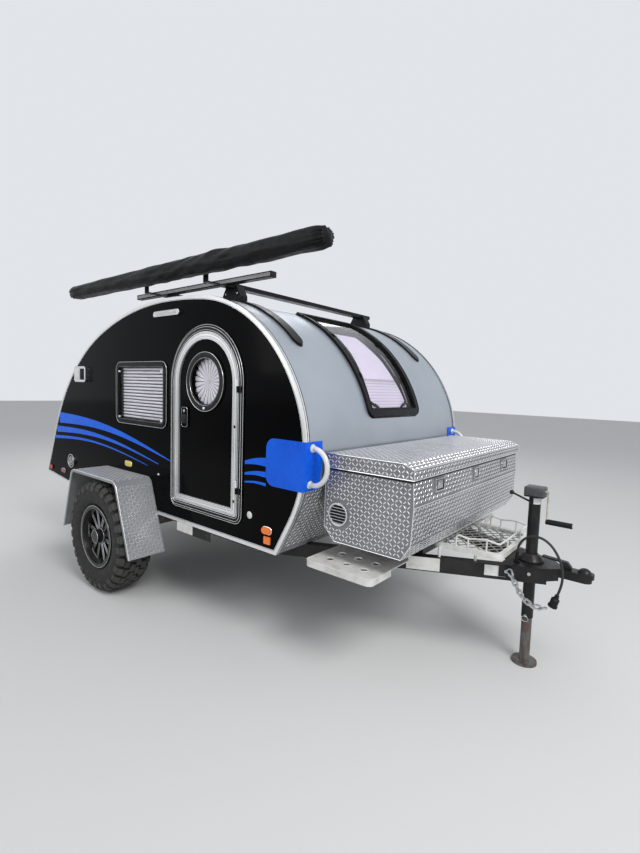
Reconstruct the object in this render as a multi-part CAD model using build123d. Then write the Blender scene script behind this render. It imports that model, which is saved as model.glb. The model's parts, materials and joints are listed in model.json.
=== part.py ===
# Teardrop camping trailer with an off-road wheel pair, arched side doors, a rear
# galley hatch, a front toolbox, a luggage rack and a drop-leg jack on its A-frame.
# Millimetres. +X points to the coupler, +Y to the trailer's left, +Z up.
# The origin is on the ground, on the centreline, half way along the trailer.
import math
import os

from build123d import *

os.makedirs("parts", exist_ok=True)

# Overall and body. The length over all is the body's length with the tongue ahead of it.
tongue_length = 1104
body_half_width = 850
body_bottom = 540
crown_z = 1914
rear_corner_z = 582
kink_ahead_of_rear = 425
wall = 38
skin = 30
floor_thickness = 35
front_joint_z = 900
hatch_hinge_ahead = 797
seam_gap = 6
seat_gap = 0.3

# The roof line is a row of tangent arcs on each side of the crown: (radius, turn in degrees)
crown_front_radius = 3400
shoulder_radius = 915
nose_radius = 725
crown_rear_radius = 2375
tail_radius = 1500
front_arcs = ((crown_front_radius, 6.0), (shoulder_radius, 59.0), (nose_radius, 53.5))
rear_arcs = ((crown_rear_radius, 21.5), (tail_radius, 43.5))

# Galley
bulkhead = 18
counter_z = 1000
cabinet_ahead = 380
galley_gap = 30

# Rear hatch fittings: places from the centreline
latch_z = 760
latch_y = 560
latch_cup = (110, 80, 8)
latch_grip = (80, 34, 10)
latch_corner = 10
lamp_z = 655
tail_lamp_y = (-700, -430, 430, 700)
tail_lamp_length = 150
tail_lamp_width = 55
tail_lamp_depth = 14

# Edge trim
trim_thickness = 3
trim_face = 20
trim_cap = 22

# Doors: an arch, straight below and half round above
door_ahead_of_rear = 2249
door_half_width = 293
door_sill_z = 675
door_spring_z = 1400
door_corner = 18
door_rim_width = 43
door_rim_depth = 12
door_flange_width = 34
door_flange_step = 4
door_flange_face = 20
door_latch_width = 62
door_latch_height = 120
door_latch_z = 1194
door_latch_inset = 102
door_latch_depth = 10
door_latch_corner = 14
porthole_z = 1408
porthole_ring_radius = 172
porthole_glass_radius = 132
porthole_ring_depth = 10
porthole_glass_inset = 14
porthole_glass_thickness = 6

# Hinges: half the knuckles on the fixed side, half on the moving side
knuckle_gap = 0.3
door_leaf_width = 26
door_leaf_sheet = 3
door_knuckle_radius = 6
door_knuckle_length = 35
door_hinge_z = (840, 1390)
hatch_knuckle_radius = 6
hatch_strip = 2
hatch_leaf_width = 40
lid_knuckle_radius = 5
piano_knuckles = 7

# Side windows
window_ahead_of_rear = 1549
window_z = 1317
window_width = 630
window_height = 426
window_corner = 55
window_frame_width = 34
window_frame_depth = 13
window_frame_step = 5
window_frame_edge = 13
window_sleeve = 8
pane_thickness = 5
blind_thickness = 6

# Curved front window
front_window_bottom_z = 1228
front_window_top_back = 630
front_window_width = 600
front_window_corner = 50
front_frame_width = 40
front_frame_height = 14

# Wheels
wheel_ahead_of_rear = 1417
tyre_radius = 365
tyre_half_width = 117
wheel_beside_body = 150
bead_radius = 190.5
rim_flange_radius = 207
rim_half_width = 100
rim_wall = 9
rim_flange = 10
rim_well = 14
rim_well_from = -40
rim_well_to = 30
rim_well_slope = 10
hub_back = -60
hub_face = 62
cap_radius = 32
cap_face = 90
spoke_face = 62
spoke_depth = 26
spoke_root = (5, 23)
spoke_tip = (31, 52)
spoke_pairs = 6
hub_radius = 58
spindle_radius = 16
tyre_flats = 42
tyre_flank = 75
tyre_shoulder = 14
tyre_bead_inset = 14
tyre_bead_height = 40
cavity_under_tread = 26
cavity_inset = 34
lug_depth = 14
lug_turn = 7.2
lug_row_gap = 8
cavity_flats = 24

# Fenders
fender_beyond_wheel = 98
fender_sheet = 5
fender_top_z = 772
fender_bend = 60
fender_lip = 18
fender_front_top = 262
fender_front_foot = 430
fender_front_foot_z = 310
fender_rear_top = 352
fender_rear_foot = 500
fender_rear_foot_z = 335

# Chassis
frame_height = 75
beam_width = 50
rail_inset = 150
frame_front_ahead = 2650
frame_rear_ahead = 140
cross_ahead = (140, 1000, 1780, 2650)
axle_tube = 60
axle_ahead_of_wheel = 130
arm_thickness = 26
arm_end_radius = 24
arm_root_radius = 32
arm_inset = 50
spindle_beyond = 26
riser_ahead = (120, 335)
riser_length = 40
step_bracket_length = 30
step_bracket_height = 25
step_bracket_inset = 60
sill_bracket_ahead = (1975, 2305)
sill_bracket_height = 60
sill_bracket_sheet = 4
sill_bracket_hole = 8
sill_bracket_hole_inset = 30

# Coupler and A-frame
ball_radius = 25.4
socket_clearance = 0.4
socket_wall = 8
ball_back = 42
ball_z = 535
beam_end_back = 203
beam_end_offset = 50
coupler_plate = 6
coupler_plate_back = 390
coupler_skirt = 56
coupler_neck_ahead = 12
snout_ahead = 50
snout_depth = 32
coupler_nose = 10
hitch_latch_width = 26
hitch_latch_ahead = 54
hitch_latch_length = 134
hitch_latch_height = 42
hitch_lever = 8

# Jack
jack_back = 288
jack_tube_radius = 28.5
jack_bore = 25.8
jack_leg_radius = 25.2
jack_tube_bottom = 245
jack_tube_top = 880
jack_head_length = 92
jack_head_width = 84
jack_head_height = 50
jack_head_corner = 8
jack_head_edge = 6
jack_leg_top = 520
jack_foot_radius = 62
jack_foot_height = 12
jack_flange_radius = 62
jack_flange_height = 8
jack_cone_height = 30
jack_lever = 5
jack_lever_reach = 116
jack_knob = 12
crank_radius = 150
crank_reach = 16
crank_rod = 6
grip_length = 125
grip_radius = 13

# Toolbox
box_gap = 8
box_length = 485
box_inset = 142
box_bottom_z = 639
box_top_z = 1003
box_sheet = 4
box_chamfer_rear = 64
box_chamfer_front = 46
box_crease_z = 882
box_crease = 8
lid_height = 72
lid_overhang = 14
lid_side = 20
lid_gap = 3
lid_slope_length = 58
lid_slope_drop = 24
lid_hinge_inset = 30
front_latches = ((-460, 95), (0, 60), (460, 95))
latch_low_z = 925
latch_height = 65
latch_depth = 14
latch_rim = 7
vent_radius = 58
vent_ahead = 88
vent_z = 780
vent_depth = 8
vent_rim = 8
louvre_pitch = 15
louvre_slope = 35

# Luggage rack
rack_start = 95
rack_behind_jack = 85
rack_half_rear = 270
rack_half_front = 232
rack_tube = 12.5
rack_corner = 40
rack_leg = 8
rack_leg_places = (40, 200)
rack_tie = 5
rack_z = 600
rack_rail_height = 72
rack_rod = 5
rail_dip = 12
rail_dip_half = 45
rail_bend = 16
mesh_bar = 5
mesh_pitch = 55
mesh_lean = 40

# Steps
step_length = 390
step_inner = 430
step_inset = 50
step_behind_box_front = 140
step_sheet = 5
step_lip = 28
step_hole = 20
step_hole_pitch = 102
step_hole_inset = 88
step_corner = 30
step_lip_length = 180

# Roof rack and awning
strip_inset = 195
strip_width = 70
strip_height = 12
strip_front_ahead = 2800
strip_rear_ahead = 1250
rack_bar_ahead = (1650, 2260)
rack_bar_z = 1975
rack_bar_inset = 105
rack_bar_width = 60
rack_bar_height = 26
rack_foot_half = 80
rack_foot_top = 46
rack_foot_width = 56
side_rail_length = 1300
side_rail_ahead = 80
side_rail_width = 40
side_rail_height = 30
bracket_width = 40
bracket_sheet = 7
awning_length = 2445
awning_beside_body = 80
awning_z = 2038
awning_height = 107
awning_depth = 120
awning_corner = 38
awning_ahead_of_rear = 749

# Wall fittings
plate_height = 245
plate_z = 1012
plate_reach = 265
plate_wrap = 120
plate_sheet = 3
plate_corner = 55
handle_radius = 12.5
handle_span = 180
handle_reach = 95
handle_inset = 45

# Lamps, caps and fittings on each wall: (ahead of the rear, height, length, width or none, depth)
amber_marker = (2776, 652, 62, 34, 14)
amber_reflector = (2778, 600, 46, 40, 6)
red_reflector = (92, 632, 46, 36, 10)
red_marker = (329, 632, 60, 30, 10)
filler_cap = (500, 734, 56, 14)
small_cap = (2652, 711, 20, 12)
porch_light = (1867, 1822, 280, 34, 18)
rear_fitting = (712, 1440, 190, 120, 30)

# Cable on the tongue
cable_radius = 6


def last_slope(arcs):
    """The run out, the drop and the slope in radians at the end of a row of tangent arcs."""
    out = 0
    down = 0
    slope = 0
    for radius, turn in arcs:
        ahead = slope + math.radians(turn)
        out += radius * (math.sin(ahead) - math.sin(slope))
        down += radius * (math.cos(slope) - math.cos(ahead))
        slope = ahead
    return out, down, slope


# Places that follow from the sizes
rear_out, rear_down, rear_slope = last_slope(rear_arcs)
rear_straight = (crown_z - rear_down - rear_corner_z) / math.sin(rear_slope)
rear_reach = rear_out + rear_straight * math.cos(rear_slope)
nose_out, _, nose_slope = last_slope(front_arcs[:-1])
front_reach = nose_out + nose_radius * (1 - math.sin(nose_slope))
overall_length = rear_reach + front_reach + tongue_length
rear_x = -overall_length / 2
tip_x = overall_length / 2
crown_x = rear_x + rear_reach
front_most = crown_x + front_reach
wheel_x = rear_x + wheel_ahead_of_rear
wheel_z = tyre_radius
kink_x = rear_x + kink_ahead_of_rear
hinge_x = rear_x + hatch_hinge_ahead
door_x = rear_x + door_ahead_of_rear
window_x = rear_x + window_ahead_of_rear
frame_top = body_bottom
frame_bottom = frame_top - frame_height
ball_x = tip_x - ball_back
jack_x = tip_x - jack_back
beam_end_x = tip_x - beam_end_back
frame_front_x = rear_x + frame_front_ahead
frame_rear_x = rear_x + frame_rear_ahead
inner_half = body_half_width - wall
track_half = body_half_width + wheel_beside_body
fender_outer = track_half + fender_beyond_wheel
rail_offset = body_half_width - rail_inset
box_half_width = body_half_width - box_inset
lid_hinge_half = box_half_width - lid_hinge_inset
step_outer = body_half_width - step_inset
strip_offset = body_half_width - strip_inset
rack_bar_half = body_half_width - rack_bar_inset
awning_offset = body_half_width + awning_beside_body


def arc_rows(direction):
    """Centre, radius, first angle and sweep of each roof arc, forwards (1) or rearwards (-1)."""
    arcs = front_arcs if direction > 0 else rear_arcs
    rows = []
    centre = Vector(crown_x, crown_z - arcs[0][0])
    angle = 90
    last = arcs[0][0]
    for radius, turn in arcs:
        away = Vector(math.cos(math.radians(angle)), math.sin(math.radians(angle)))
        centre = centre + away * (last - radius)
        rows.append((centre, radius, angle, -direction * turn))
        angle -= direction * turn
        last = radius
    return rows


def meet(p, along, q, other):
    """Where the line from p and the line from q cross."""
    across = along.X * other.Y - along.Y * other.X
    gap = q - p
    return p + along * ((gap.X * other.Y - gap.Y * other.X) / across)


def outline(grow=0, below=None):
    """The body's side outline, moved out by grow and its underside down by below."""
    below = grow if below is None else below
    edges = []
    ends = {}
    for direction in (1, -1):
        for centre, radius, angle, sweep in arc_rows(direction):
            edges.append(CenterArc(centre, radius + grow, angle, sweep))
        last = math.radians(angle + sweep)
        foot = centre + Vector(math.cos(last), math.sin(last)) * (radius + grow)
        run = Vector(math.sin(last), -math.cos(last)) * direction
        ends[direction] = (foot, run)
    rear_run = Vector(kink_x - rear_x, body_bottom - rear_corner_z).normalized()
    sunk = Vector(rear_run.Y, -rear_run.X) * below
    low = Vector(0, body_bottom - below)
    corner = meet(*ends[1], low, Vector(1, 0))
    kink = meet(Vector(rear_x, rear_corner_z) + sunk, rear_run, low, Vector(1, 0))
    tail = meet(*ends[-1], kink, rear_run)
    edges.append(Line(ends[1][0], corner))
    edges.append(Line(corner, kink))
    edges.append(Line(kink, tail))
    edges.append(Line(tail, ends[-1][0]))
    return make_face(edges)


def roof_z(x, grow=0):
    """Height of the roof line at x."""
    direction = 1 if x > crown_x else -1
    for centre, radius, angle, sweep in arc_rows(direction):
        reach = centre.X + (radius + grow) * math.cos(math.radians(angle + sweep))
        if (reach - x) * direction >= 0:
            break
    return centre.Y + math.sqrt((radius + grow) ** 2 - (x - centre.X) ** 2)


def nose_x(z, grow=0):
    """How far forward the front line is at height z."""
    for centre, radius, angle, sweep in arc_rows(1):
        low = centre.Y + (radius + grow) * math.sin(math.radians(angle + sweep))
        if low <= z:
            break
    return centre.X + math.sqrt((radius + grow) ** 2 - (z - centre.Y) ** 2)


def area(x_from, x_to, z_from, z_to):
    """A rectangle in the side view."""
    middle = Pos((x_from + x_to) / 2, (z_from + z_to) / 2)
    return middle * Rectangle(abs(x_to - x_from), abs(z_to - z_from))


def slab(face, y_from, y_to):
    """A face drawn in the side view, given its thickness across the trailer."""
    low = min(y_from, y_to)
    return extrude(Plane.XZ.offset(-low) * face, amount=abs(y_to - y_from), dir=(0, 1, 0))


def block(x_from, x_to, y_from, y_to, z_from, z_to):
    """A box between two corners."""
    middle = Pos((x_from + x_to) / 2, (y_from + y_to) / 2, (z_from + z_to) / 2)
    return middle * Box(abs(x_to - x_from), abs(y_to - y_from), abs(z_to - z_from))


def rod(start, end, radius):
    """A round bar from start to end."""
    start = Vector(*start)
    end = Vector(*end)
    plane = Plane(origin=start, z_dir=end - start)
    return extrude(plane * Circle(radius), amount=(end - start).length)


def save(name, *solids):
    """Write one node, of one or more solids."""
    made = []
    for solid in solids:
        made.extend(solid.solids())
    shape = made[0] if len(made) == 1 else Compound(children=made)
    export_step(shape, f"parts/{name}.step")
    print(name, "solids", len(made))


def knuckle_spans(half, moving):
    """The stretches of a long hinge that belong to the moving side, or to the fixed side."""
    length = 2 * half / piano_knuckles
    spans = []
    for number in range(1 if moving else 0, piano_knuckles, 2):
        start = -half + number * length
        spans.append((start + knuckle_gap / 2, start + length - knuckle_gap / 2))
    return spans


def both(make):
    """A piece made for the right side (-1) and for the left side (1)."""
    return [make(-1), make(1)]


far = 5000
whole = outline()
skin_ring = outline(0, 0) - outline(-skin, far)

# Door and window outlines in the side view


def arch(half, sill, spring, corner):
    """An arched outline: straight sides on a sill, and a half circle on top."""
    half_round = Pos(door_x, spring) * Circle(half)
    lower = Pos(door_x, (sill + spring) / 2) * Rectangle(2 * half, spring - sill)
    low_corners = lower.vertices().group_by(Axis.Y)[0]
    return fillet(low_corners, corner) + half_round


def door_arch(grow):
    """The door leaf's arch, moved out by grow."""
    corner = max(door_corner + grow, 2)
    return arch(door_half_width + grow, door_sill_z - grow, door_spring_z, corner)


def side_window(grow):
    """The side window's rounded outline, moved in by a negative grow."""
    width = window_width + 2 * grow
    height = window_height + 2 * grow
    return Pos(window_x, window_z) * RectangleRounded(width, height, window_corner + grow)


door_hole = door_arch(seam_gap)
window_hole = side_window(-window_frame_width + window_sleeve)


# Side walls, with the door and window cut out
def side_wall(side):
    face = whole - door_hole - window_hole
    return slab(face, side * inner_half, side * body_half_width)


for side, name in ((-1, "wall_right"), (1, "wall_left")):
    save(name, side_wall(side))

# Floor, between the walls and behind the front panel
hatch_zone = area(rear_x - far, hinge_x, 0, far)
hatch_room = (outline(far, far) - outline(-skin - seam_gap, far)) & hatch_zone
floor_face = (outline(-skin, 0) - outline(0, -floor_thickness)) - hatch_room
save("floor", slab(floor_face, -inner_half, inner_half))

# Curved front window: drawn on a plane along the chord of the stretch of roof it fills
window_top_x = front_most - front_window_top_back
chord_low = Vector(nose_x(front_window_bottom_z), 0, front_window_bottom_z)
chord_high = Vector(window_top_x, 0, roof_z(window_top_x))
chord = chord_high - chord_low
window_plane = Plane(
    origin=(chord_low + chord_high) * 0.5, x_dir=(0, 1, 0), z_dir=Vector(0, 1, 0).cross(chord)
)


def front_window(grow):
    """A bar through the roof skin with the front window's rounded outline."""
    width = front_window_width + 2 * grow
    height = chord.length + 2 * grow
    face = RectangleRounded(width, height, front_window_corner + grow)
    return extrude(window_plane * face, amount=400, both=True)


front_hole = front_window(-front_frame_width + window_sleeve)

# Roof skin from the galley hatch over to the joint above the front panel
skin_face = skin_ring & area(hinge_x, far, front_joint_z, far)
save("roof_skin", slab(skin_face, -inner_half, inner_half) - front_hole)

# Tread-plate panel low on the front
panel_face = skin_ring & area(0, far, 0, front_joint_z)
save("front_panel", slab(panel_face, -inner_half, inner_half))

# Galley bulkhead with its counter and cabinet front
inside = outline(-skin - galley_gap, -floor_thickness)
cabin = outline(-skin, -floor_thickness)
bulkhead_face = cabin & area(hinge_x, hinge_x + bulkhead, 0, far)
counter_face = inside & area(rear_x, hinge_x, counter_z - bulkhead, counter_z)
cabinet_x = rear_x + cabinet_ahead
cabinet_face = inside & area(cabinet_x, cabinet_x + bulkhead, 0, counter_z)
galley = bulkhead_face + counter_face + cabinet_face
save("galley_unit", slab(galley, -inner_half, inner_half))

# Rear hatch: the roof line's shell behind the hinge, with its half of the hinge
hatch_face = skin_ring & area(rear_x - far, hinge_x - seam_gap, 0, far)
hatch_half = inner_half - seam_gap
hatch = slab(hatch_face, -hatch_half, hatch_half)
hinge_slope = roof_z(hinge_x + 0.5) - roof_z(hinge_x - 0.5)
hinge_pin_height = (hatch_strip + hatch_knuckle_radius + 2 * seat_gap) * math.hypot(1, hinge_slope)
hinge_pin_z = roof_z(hinge_x) + hinge_pin_height
pin_face = Pos(hinge_x, hinge_pin_z) * Circle(hatch_knuckle_radius)


def hatch_leaf(direction):
    """Side view of one half of the hatch hinge: a strip on the roof and a web up to the pin."""
    strip = outline(hatch_strip, hatch_strip) - outline(0, far)
    strip = strip & area(hinge_x, hinge_x + direction * hatch_leaf_width, 0, far)
    web = area(hinge_x, hinge_x + direction * hatch_knuckle_radius, crown_z / 2, hinge_pin_z)
    return strip, strip + (web - outline(0, far)) + pin_face


for low, high in knuckle_spans(hatch_half, True):
    hatch = hatch + slab(hatch_leaf(-1)[1], low, high)
save("hatch_panel", hatch)
print("hatch hinge", hinge_x, hinge_pin_z)

# The fixed half of the hatch hinge lies on the roof skin
hatch_hinge = slab(hatch_leaf(1)[0], -hatch_half, hatch_half)
for low, high in knuckle_spans(hatch_half, False):
    hatch_hinge = hatch_hinge + slab(hatch_leaf(1)[1], low, high)
save("hatch_hinge", hatch_hinge)


# Two latch handles and the lamps on the hatch
def rear_line(z):
    """Where the straight lower part of the hatch is at height z."""
    return rear_x + (z - rear_corner_z) / math.tan(rear_slope)


def on_hatch(z, y):
    """A plane on the lower hatch, with its normal pointing out."""
    normal = Vector(-math.sin(rear_slope), 0, math.cos(rear_slope))
    return Plane(origin=(rear_line(z), y, z), x_dir=(0, 1, 0), z_dir=normal)


def hatch_latch(side):
    """A cup with a grip standing on its upper half."""
    length, width, depth = latch_cup
    cup = extrude(RectangleRounded(length, width, latch_corner), amount=depth)
    length, width, grip_depth = latch_grip
    grip = extrude(RectangleRounded(length, width, latch_corner), amount=grip_depth)
    return on_hatch(latch_z, side * latch_y) * (cup + Pos(0, latch_corner, depth) * grip)


save("hatch_latches", *both(hatch_latch))

tail_lamps = []
for y in tail_lamp_y:
    lamp = extrude(SlotOverall(tail_lamp_length, tail_lamp_width), amount=tail_lamp_depth)
    tail_lamps.append(on_hatch(lamp_z, y) * lamp)
save("tail_lamps", *tail_lamps)


# Bright edge trim: an angle round the whole outline of each wall
def edge_trim(side):
    outer = body_half_width + trim_thickness
    leg = outline(trim_thickness) - outline(-trim_face)
    cap = outline(trim_thickness) - outline(0)
    inner = body_half_width - trim_cap
    return slab(leg, side * body_half_width, side * outer) + slab(
        cap, side * inner, side * body_half_width
    )


save("edge_trims", *both(edge_trim))


# Fenders: a bent sheet over each wheel with a lip along its outer edge
front_lean = (fender_front_foot - fender_front_top) / (fender_top_z - fender_front_foot_z)
rear_lean = (fender_rear_foot - fender_rear_top) / (fender_top_z - fender_rear_foot_z)
fender_corners = (
    (wheel_x + fender_front_top + front_lean * fender_top_z, 0),
    (wheel_x + fender_front_top, fender_top_z),
    (wheel_x - fender_rear_top, fender_top_z),
    (wheel_x - fender_rear_top - rear_lean * fender_top_z, 0),
)
fender_block = make_face(Polyline(*fender_corners, close=True))
fender_block = fillet(fender_block.vertices().group_by(Axis.Y)[-1], fender_bend)
fender_reach = area(wheel_x, far, fender_front_foot_z, far)
fender_reach = fender_reach + area(-far, wheel_x, fender_rear_foot_z, far)
fender_inner = body_half_width + trim_thickness + seat_gap


def fender(side):
    sheet = (fender_block - offset(fender_block, -fender_sheet)) & fender_reach
    lip = (fender_block - offset(fender_block, -fender_lip)) & fender_reach
    skirt = slab(lip, side * (fender_outer - fender_sheet), side * fender_outer)
    return slab(sheet, side * fender_inner, side * fender_outer) + skirt


save("fenders", *both(fender))


# Wheels: drawn round Z with +Z outward, then laid on their side
def lay_wheel(side, piece):
    turn = Rot(90, 0, 0) if side < 0 else Rot(-90, 0, 0)
    return Pos(wheel_x, side * track_half, wheel_z) * turn * piece


def flat_ring(radius, flats, half):
    """A prism of flat faces round the axle, radius to the middle of each flat."""
    face = RegularPolygon(radius, flats, major_radius=False, rotation=180 / flats)
    return Pos(0, 0, -half) * extrude(face, amount=2 * half)


def lug_row(low, high, tip, turn):
    """Lugs on every other flat of the tread: a toothed ring whose roots lie under the tread."""
    root = tyre_radius - lug_depth - 3
    core = RegularPolygon(root - 9, tyre_flats, major_radius=False, rotation=180 / tyre_flats)
    lugs = tyre_flats // 2
    corners = []
    for number in range(lugs):
        middle = math.radians(number * 360 / lugs + turn)
        half = math.radians(lug_turn / 2)
        for angle, radius in ((-half, root), (-half, tip), (half, tip), (half, root)):
            reach = radius / math.cos(half)
            corners.append((reach * math.cos(middle + angle), reach * math.sin(middle + angle)))
    teeth = make_face(Polyline(*corners, close=True)) - core
    return Pos(0, 0, low) * extrude(teeth, amount=high - low)


def flat_loft(sections):
    """A solid of flat faces through rings at the given (place on the axle, radius)."""
    rings = []
    for y, radius in sorted(sections):
        ring = RegularPolygon(radius, tyre_flats, major_radius=False, rotation=180 / tyre_flats)
        rings.append(Pos(0, 0, y) * ring)
    return loft(rings, ruled=True)


def tyre():
    """A hollow carcass of flats with beads, and two rows of lugs set half a pitch apart."""
    tread = tyre_radius - lug_depth
    widest = tyre_radius - tyre_flank
    shoulder = tyre_half_width - tyre_shoulder
    bead_half = rim_half_width - tyre_bead_inset
    bead_top = bead_radius + tyre_bead_height
    carcass = flat_loft((
        (-tyre_half_width, widest), (-shoulder, tread), (shoulder, tread), (tyre_half_width, widest),
    ))
    for side in (-1, 1):
        carcass = carcass - flat_loft((
            (side * (tyre_half_width + 5), widest + 40),
            (side * (tyre_half_width - 8), bead_top),
            (side * bead_half, bead_radius + 20),
        ))
    carcass = carcass - flat_ring(
        tread - cavity_under_tread, cavity_flats, tyre_half_width - cavity_inset
    )
    bead_ring = flat_ring(bead_top, cavity_flats, bead_half)
    carcass = carcass + (bead_ring - flat_ring(bead_top + 9, cavity_flats, bead_half - 24))
    carcass = carcass - flat_ring(bead_radius + seat_gap, tyre_flats, tyre_half_width + 13)
    for side in (-1, 1):
        turn = 90 if side > 0 else 90 + 360 / tyre_flats
        low, high = sorted((side * lug_row_gap, side * (shoulder + 2)))
        carcass = carcass + lug_row(low, high, tyre_radius, turn)
    return carcass


def rim():
    """Barrel with flanges, a hub, and pairs of spokes."""
    bore = bead_radius - rim_wall
    seat = rim_half_width - rim_flange
    barrel = Polyline(
        (bead_radius, seat),
        (rim_flange_radius, seat),
        (rim_flange_radius, rim_half_width),
        (bore, rim_half_width),
        (bore - rim_well, rim_well_to),
        (bore - rim_well, rim_well_from),
        (bore, -rim_half_width),
        (rim_flange_radius, -rim_half_width),
        (rim_flange_radius, -seat),
        (bead_radius, -seat),
        (bead_radius, rim_well_from - rim_well_slope),
        (bead_radius - rim_well, rim_well_from),
        (bead_radius - rim_well, rim_well_to),
        (bead_radius, rim_well_to + rim_well_slope),
        close=True,
    )
    shape = revolve(Plane.XZ * make_face(barrel), Axis.Z)
    bore_radius = spindle_radius + seat_gap
    hub = Polyline(
        (bore_radius, hub_back),
        (hub_radius, hub_back),
        (hub_radius, hub_face - 22),
        (hub_radius - 10, hub_face),
        (cap_radius, hub_face),
        (cap_radius - 2, cap_face - 2),
        (0, cap_face),
        (0, rim_well_to),
        (bore_radius, rim_well_to),
        close=True,
    )
    shape = shape + revolve(Plane.XZ * make_face(hub), Axis.Z)
    root = hub_radius - 12
    reach = bore - 6
    spokes = Part()
    for number in range(spoke_pairs):
        for lean in (-1, 1):
            corners = (
                (root, lean * spoke_root[0]),
                (root, lean * spoke_root[1]),
                (reach, lean * spoke_tip[1]),
                (reach, lean * spoke_tip[0]),
            )
            spoke = extrude(make_face(Polyline(*corners, close=True)), amount=spoke_depth)
            spoke = Pos(0, 0, spoke_face - spoke_depth) * spoke
            spokes = spokes + Rot(0, 0, number * 360 / spoke_pairs) * spoke
    return shape + spokes


for side, name in ((-1, "right"), (1, "left")):
    save(f"tyre_{name}", lay_wheel(side, tyre()))
    save(f"rim_{name}", lay_wheel(side, rim()))

# Axle tube under the rails, with a trailing arm and a spindle at each end
axle_x = wheel_x + axle_ahead_of_wheel
axle_z = frame_bottom - axle_tube / 2
arm_inner = body_half_width - arm_inset
arm_outer = arm_inner + arm_thickness
axle = block(
    axle_x - axle_tube / 2,
    axle_x + axle_tube / 2,
    -arm_inner,
    arm_inner,
    frame_bottom - axle_tube,
    frame_bottom,
)
for side in (-1, 1):
    root = Pos(axle_x, axle_z) * Circle(arm_root_radius)
    end = Pos(wheel_x, wheel_z) * Circle(arm_end_radius)
    arm = make_hull(root.edges() + end.edges())
    axle = axle + slab(arm, side * arm_inner, side * arm_outer)
    pin = Pos(wheel_x, wheel_z) * Circle(spindle_radius)
    axle = axle + slab(pin, side * arm_outer, side * (track_half + spindle_beyond))
save("axle", axle)

# Frame: side rails, cross members, the A-frame beams and the risers under the toolbox
frame = Part()
for side in (-1, 1):
    y = side * rail_offset
    frame = frame + block(
        frame_rear_x, frame_front_x, y - beam_width / 2, y + beam_width / 2, frame_bottom, frame_top
    )
for ahead in cross_ahead:
    x = min(max(rear_x + ahead, frame_rear_x + beam_width / 2), frame_front_x - beam_width / 2)
    frame = frame + block(
        x - beam_width / 2, x + beam_width / 2, -rail_offset, rail_offset, frame_bottom, frame_top
    )
beam_start = Vector(frame_front_x - beam_width / 2, rail_offset)
beam_end = Vector(beam_end_x, beam_end_offset)
beam_run = beam_end - beam_start
beam_angle = math.degrees(math.atan2(-beam_run.Y, beam_run.X))


def beam_y(x):
    """Half the spread of the A-frame's centrelines at x."""
    return beam_start.Y + (x - beam_start.X) * beam_run.Y / beam_run.X


for side in (-1, 1):
    middle = (beam_start + beam_end) * 0.5
    beam = Box(beam_run.length, beam_width, frame_height)
    place = Pos(middle.X, side * middle.Y, frame_top - frame_height / 2)
    frame = frame + place * Rot(0, 0, -side * beam_angle) * beam
box_rear_x = front_most + trim_thickness + box_gap
box_front_x = box_rear_x + box_length
riser_z = box_bottom_z - seat_gap
for ahead in riser_ahead:
    x = box_rear_x + ahead
    spread = beam_y(x) - beam_width / 4
    frame = frame + block(
        x - riser_length / 2, x + riser_length / 2, -spread, spread, frame_top, riser_z
    )
step_front = box_front_x - step_behind_box_front
step_bracket_half = step_bracket_length / 2
step_bracket_low = frame_top - step_bracket_height
step_bracket_end = step_outer - step_bracket_inset
for x in (step_front - step_length + step_bracket_inset, step_front - step_bracket_inset):
    for side in (-1, 1):
        frame = frame + block(
            x - step_bracket_half,
            x + step_bracket_half,
            side * beam_y(x),
            side * step_bracket_end,
            step_bracket_low,
            frame_top,
        )

# Sill brackets: angles from the rails out to below the walls, under the edge trim
bracket_from, bracket_to = (rear_x + ahead for ahead in sill_bracket_ahead)
shelf_high = frame_top - trim_thickness - seat_gap
shelf_low = shelf_high - sill_bracket_sheet
leaf_low = shelf_high - sill_bracket_height
for side in (-1, 1):
    outer = side * (inner_half + wall - seat_gap)
    leaf_inner = outer - side * sill_bracket_sheet
    shelf = block(bracket_from, bracket_to, side * rail_offset, outer, shelf_low, shelf_high)
    leaf = block(bracket_from, bracket_to, leaf_inner, outer, leaf_low, shelf_high)
    for x in (bracket_from + sill_bracket_hole_inset, bracket_to - sill_bracket_hole_inset):
        hole = Pos(x, shelf_high - sill_bracket_height / 2) * Circle(sill_bracket_hole)
        leaf = leaf - slab(hole, 0, side * far)
    frame = frame + shelf + leaf
save("frame", frame)

# Coupler: a plate on the beams' ends with skirts down their outer faces, a snout and a ball socket
plate_x = tip_x - coupler_plate_back
snout_half = ball_radius + socket_wall
skirt_gap = (beam_width / 2 + seat_gap) / math.cos(math.radians(beam_angle))
neck_x = beam_end_x + coupler_neck_ahead
snout_x = beam_end_x + snout_ahead
snout_overlap = 4
hollow_half = snout_half - coupler_plate


def coupler_plan(rear, grow):
    """The coupler's plan from rear to the ball, moved out by grow from the beams' outer faces."""
    return make_face(
        Polyline(
            (rear, -beam_y(rear) - skirt_gap - grow),
            (neck_x, -beam_y(neck_x) - skirt_gap - grow),
            (snout_x, -hollow_half - grow),
            (ball_x, -hollow_half - grow),
            (ball_x, hollow_half + grow),
            (snout_x, hollow_half + grow),
            (neck_x, beam_y(neck_x) + skirt_gap + grow),
            (rear, beam_y(rear) + skirt_gap + grow),
            close=True,
        )
    )


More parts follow.
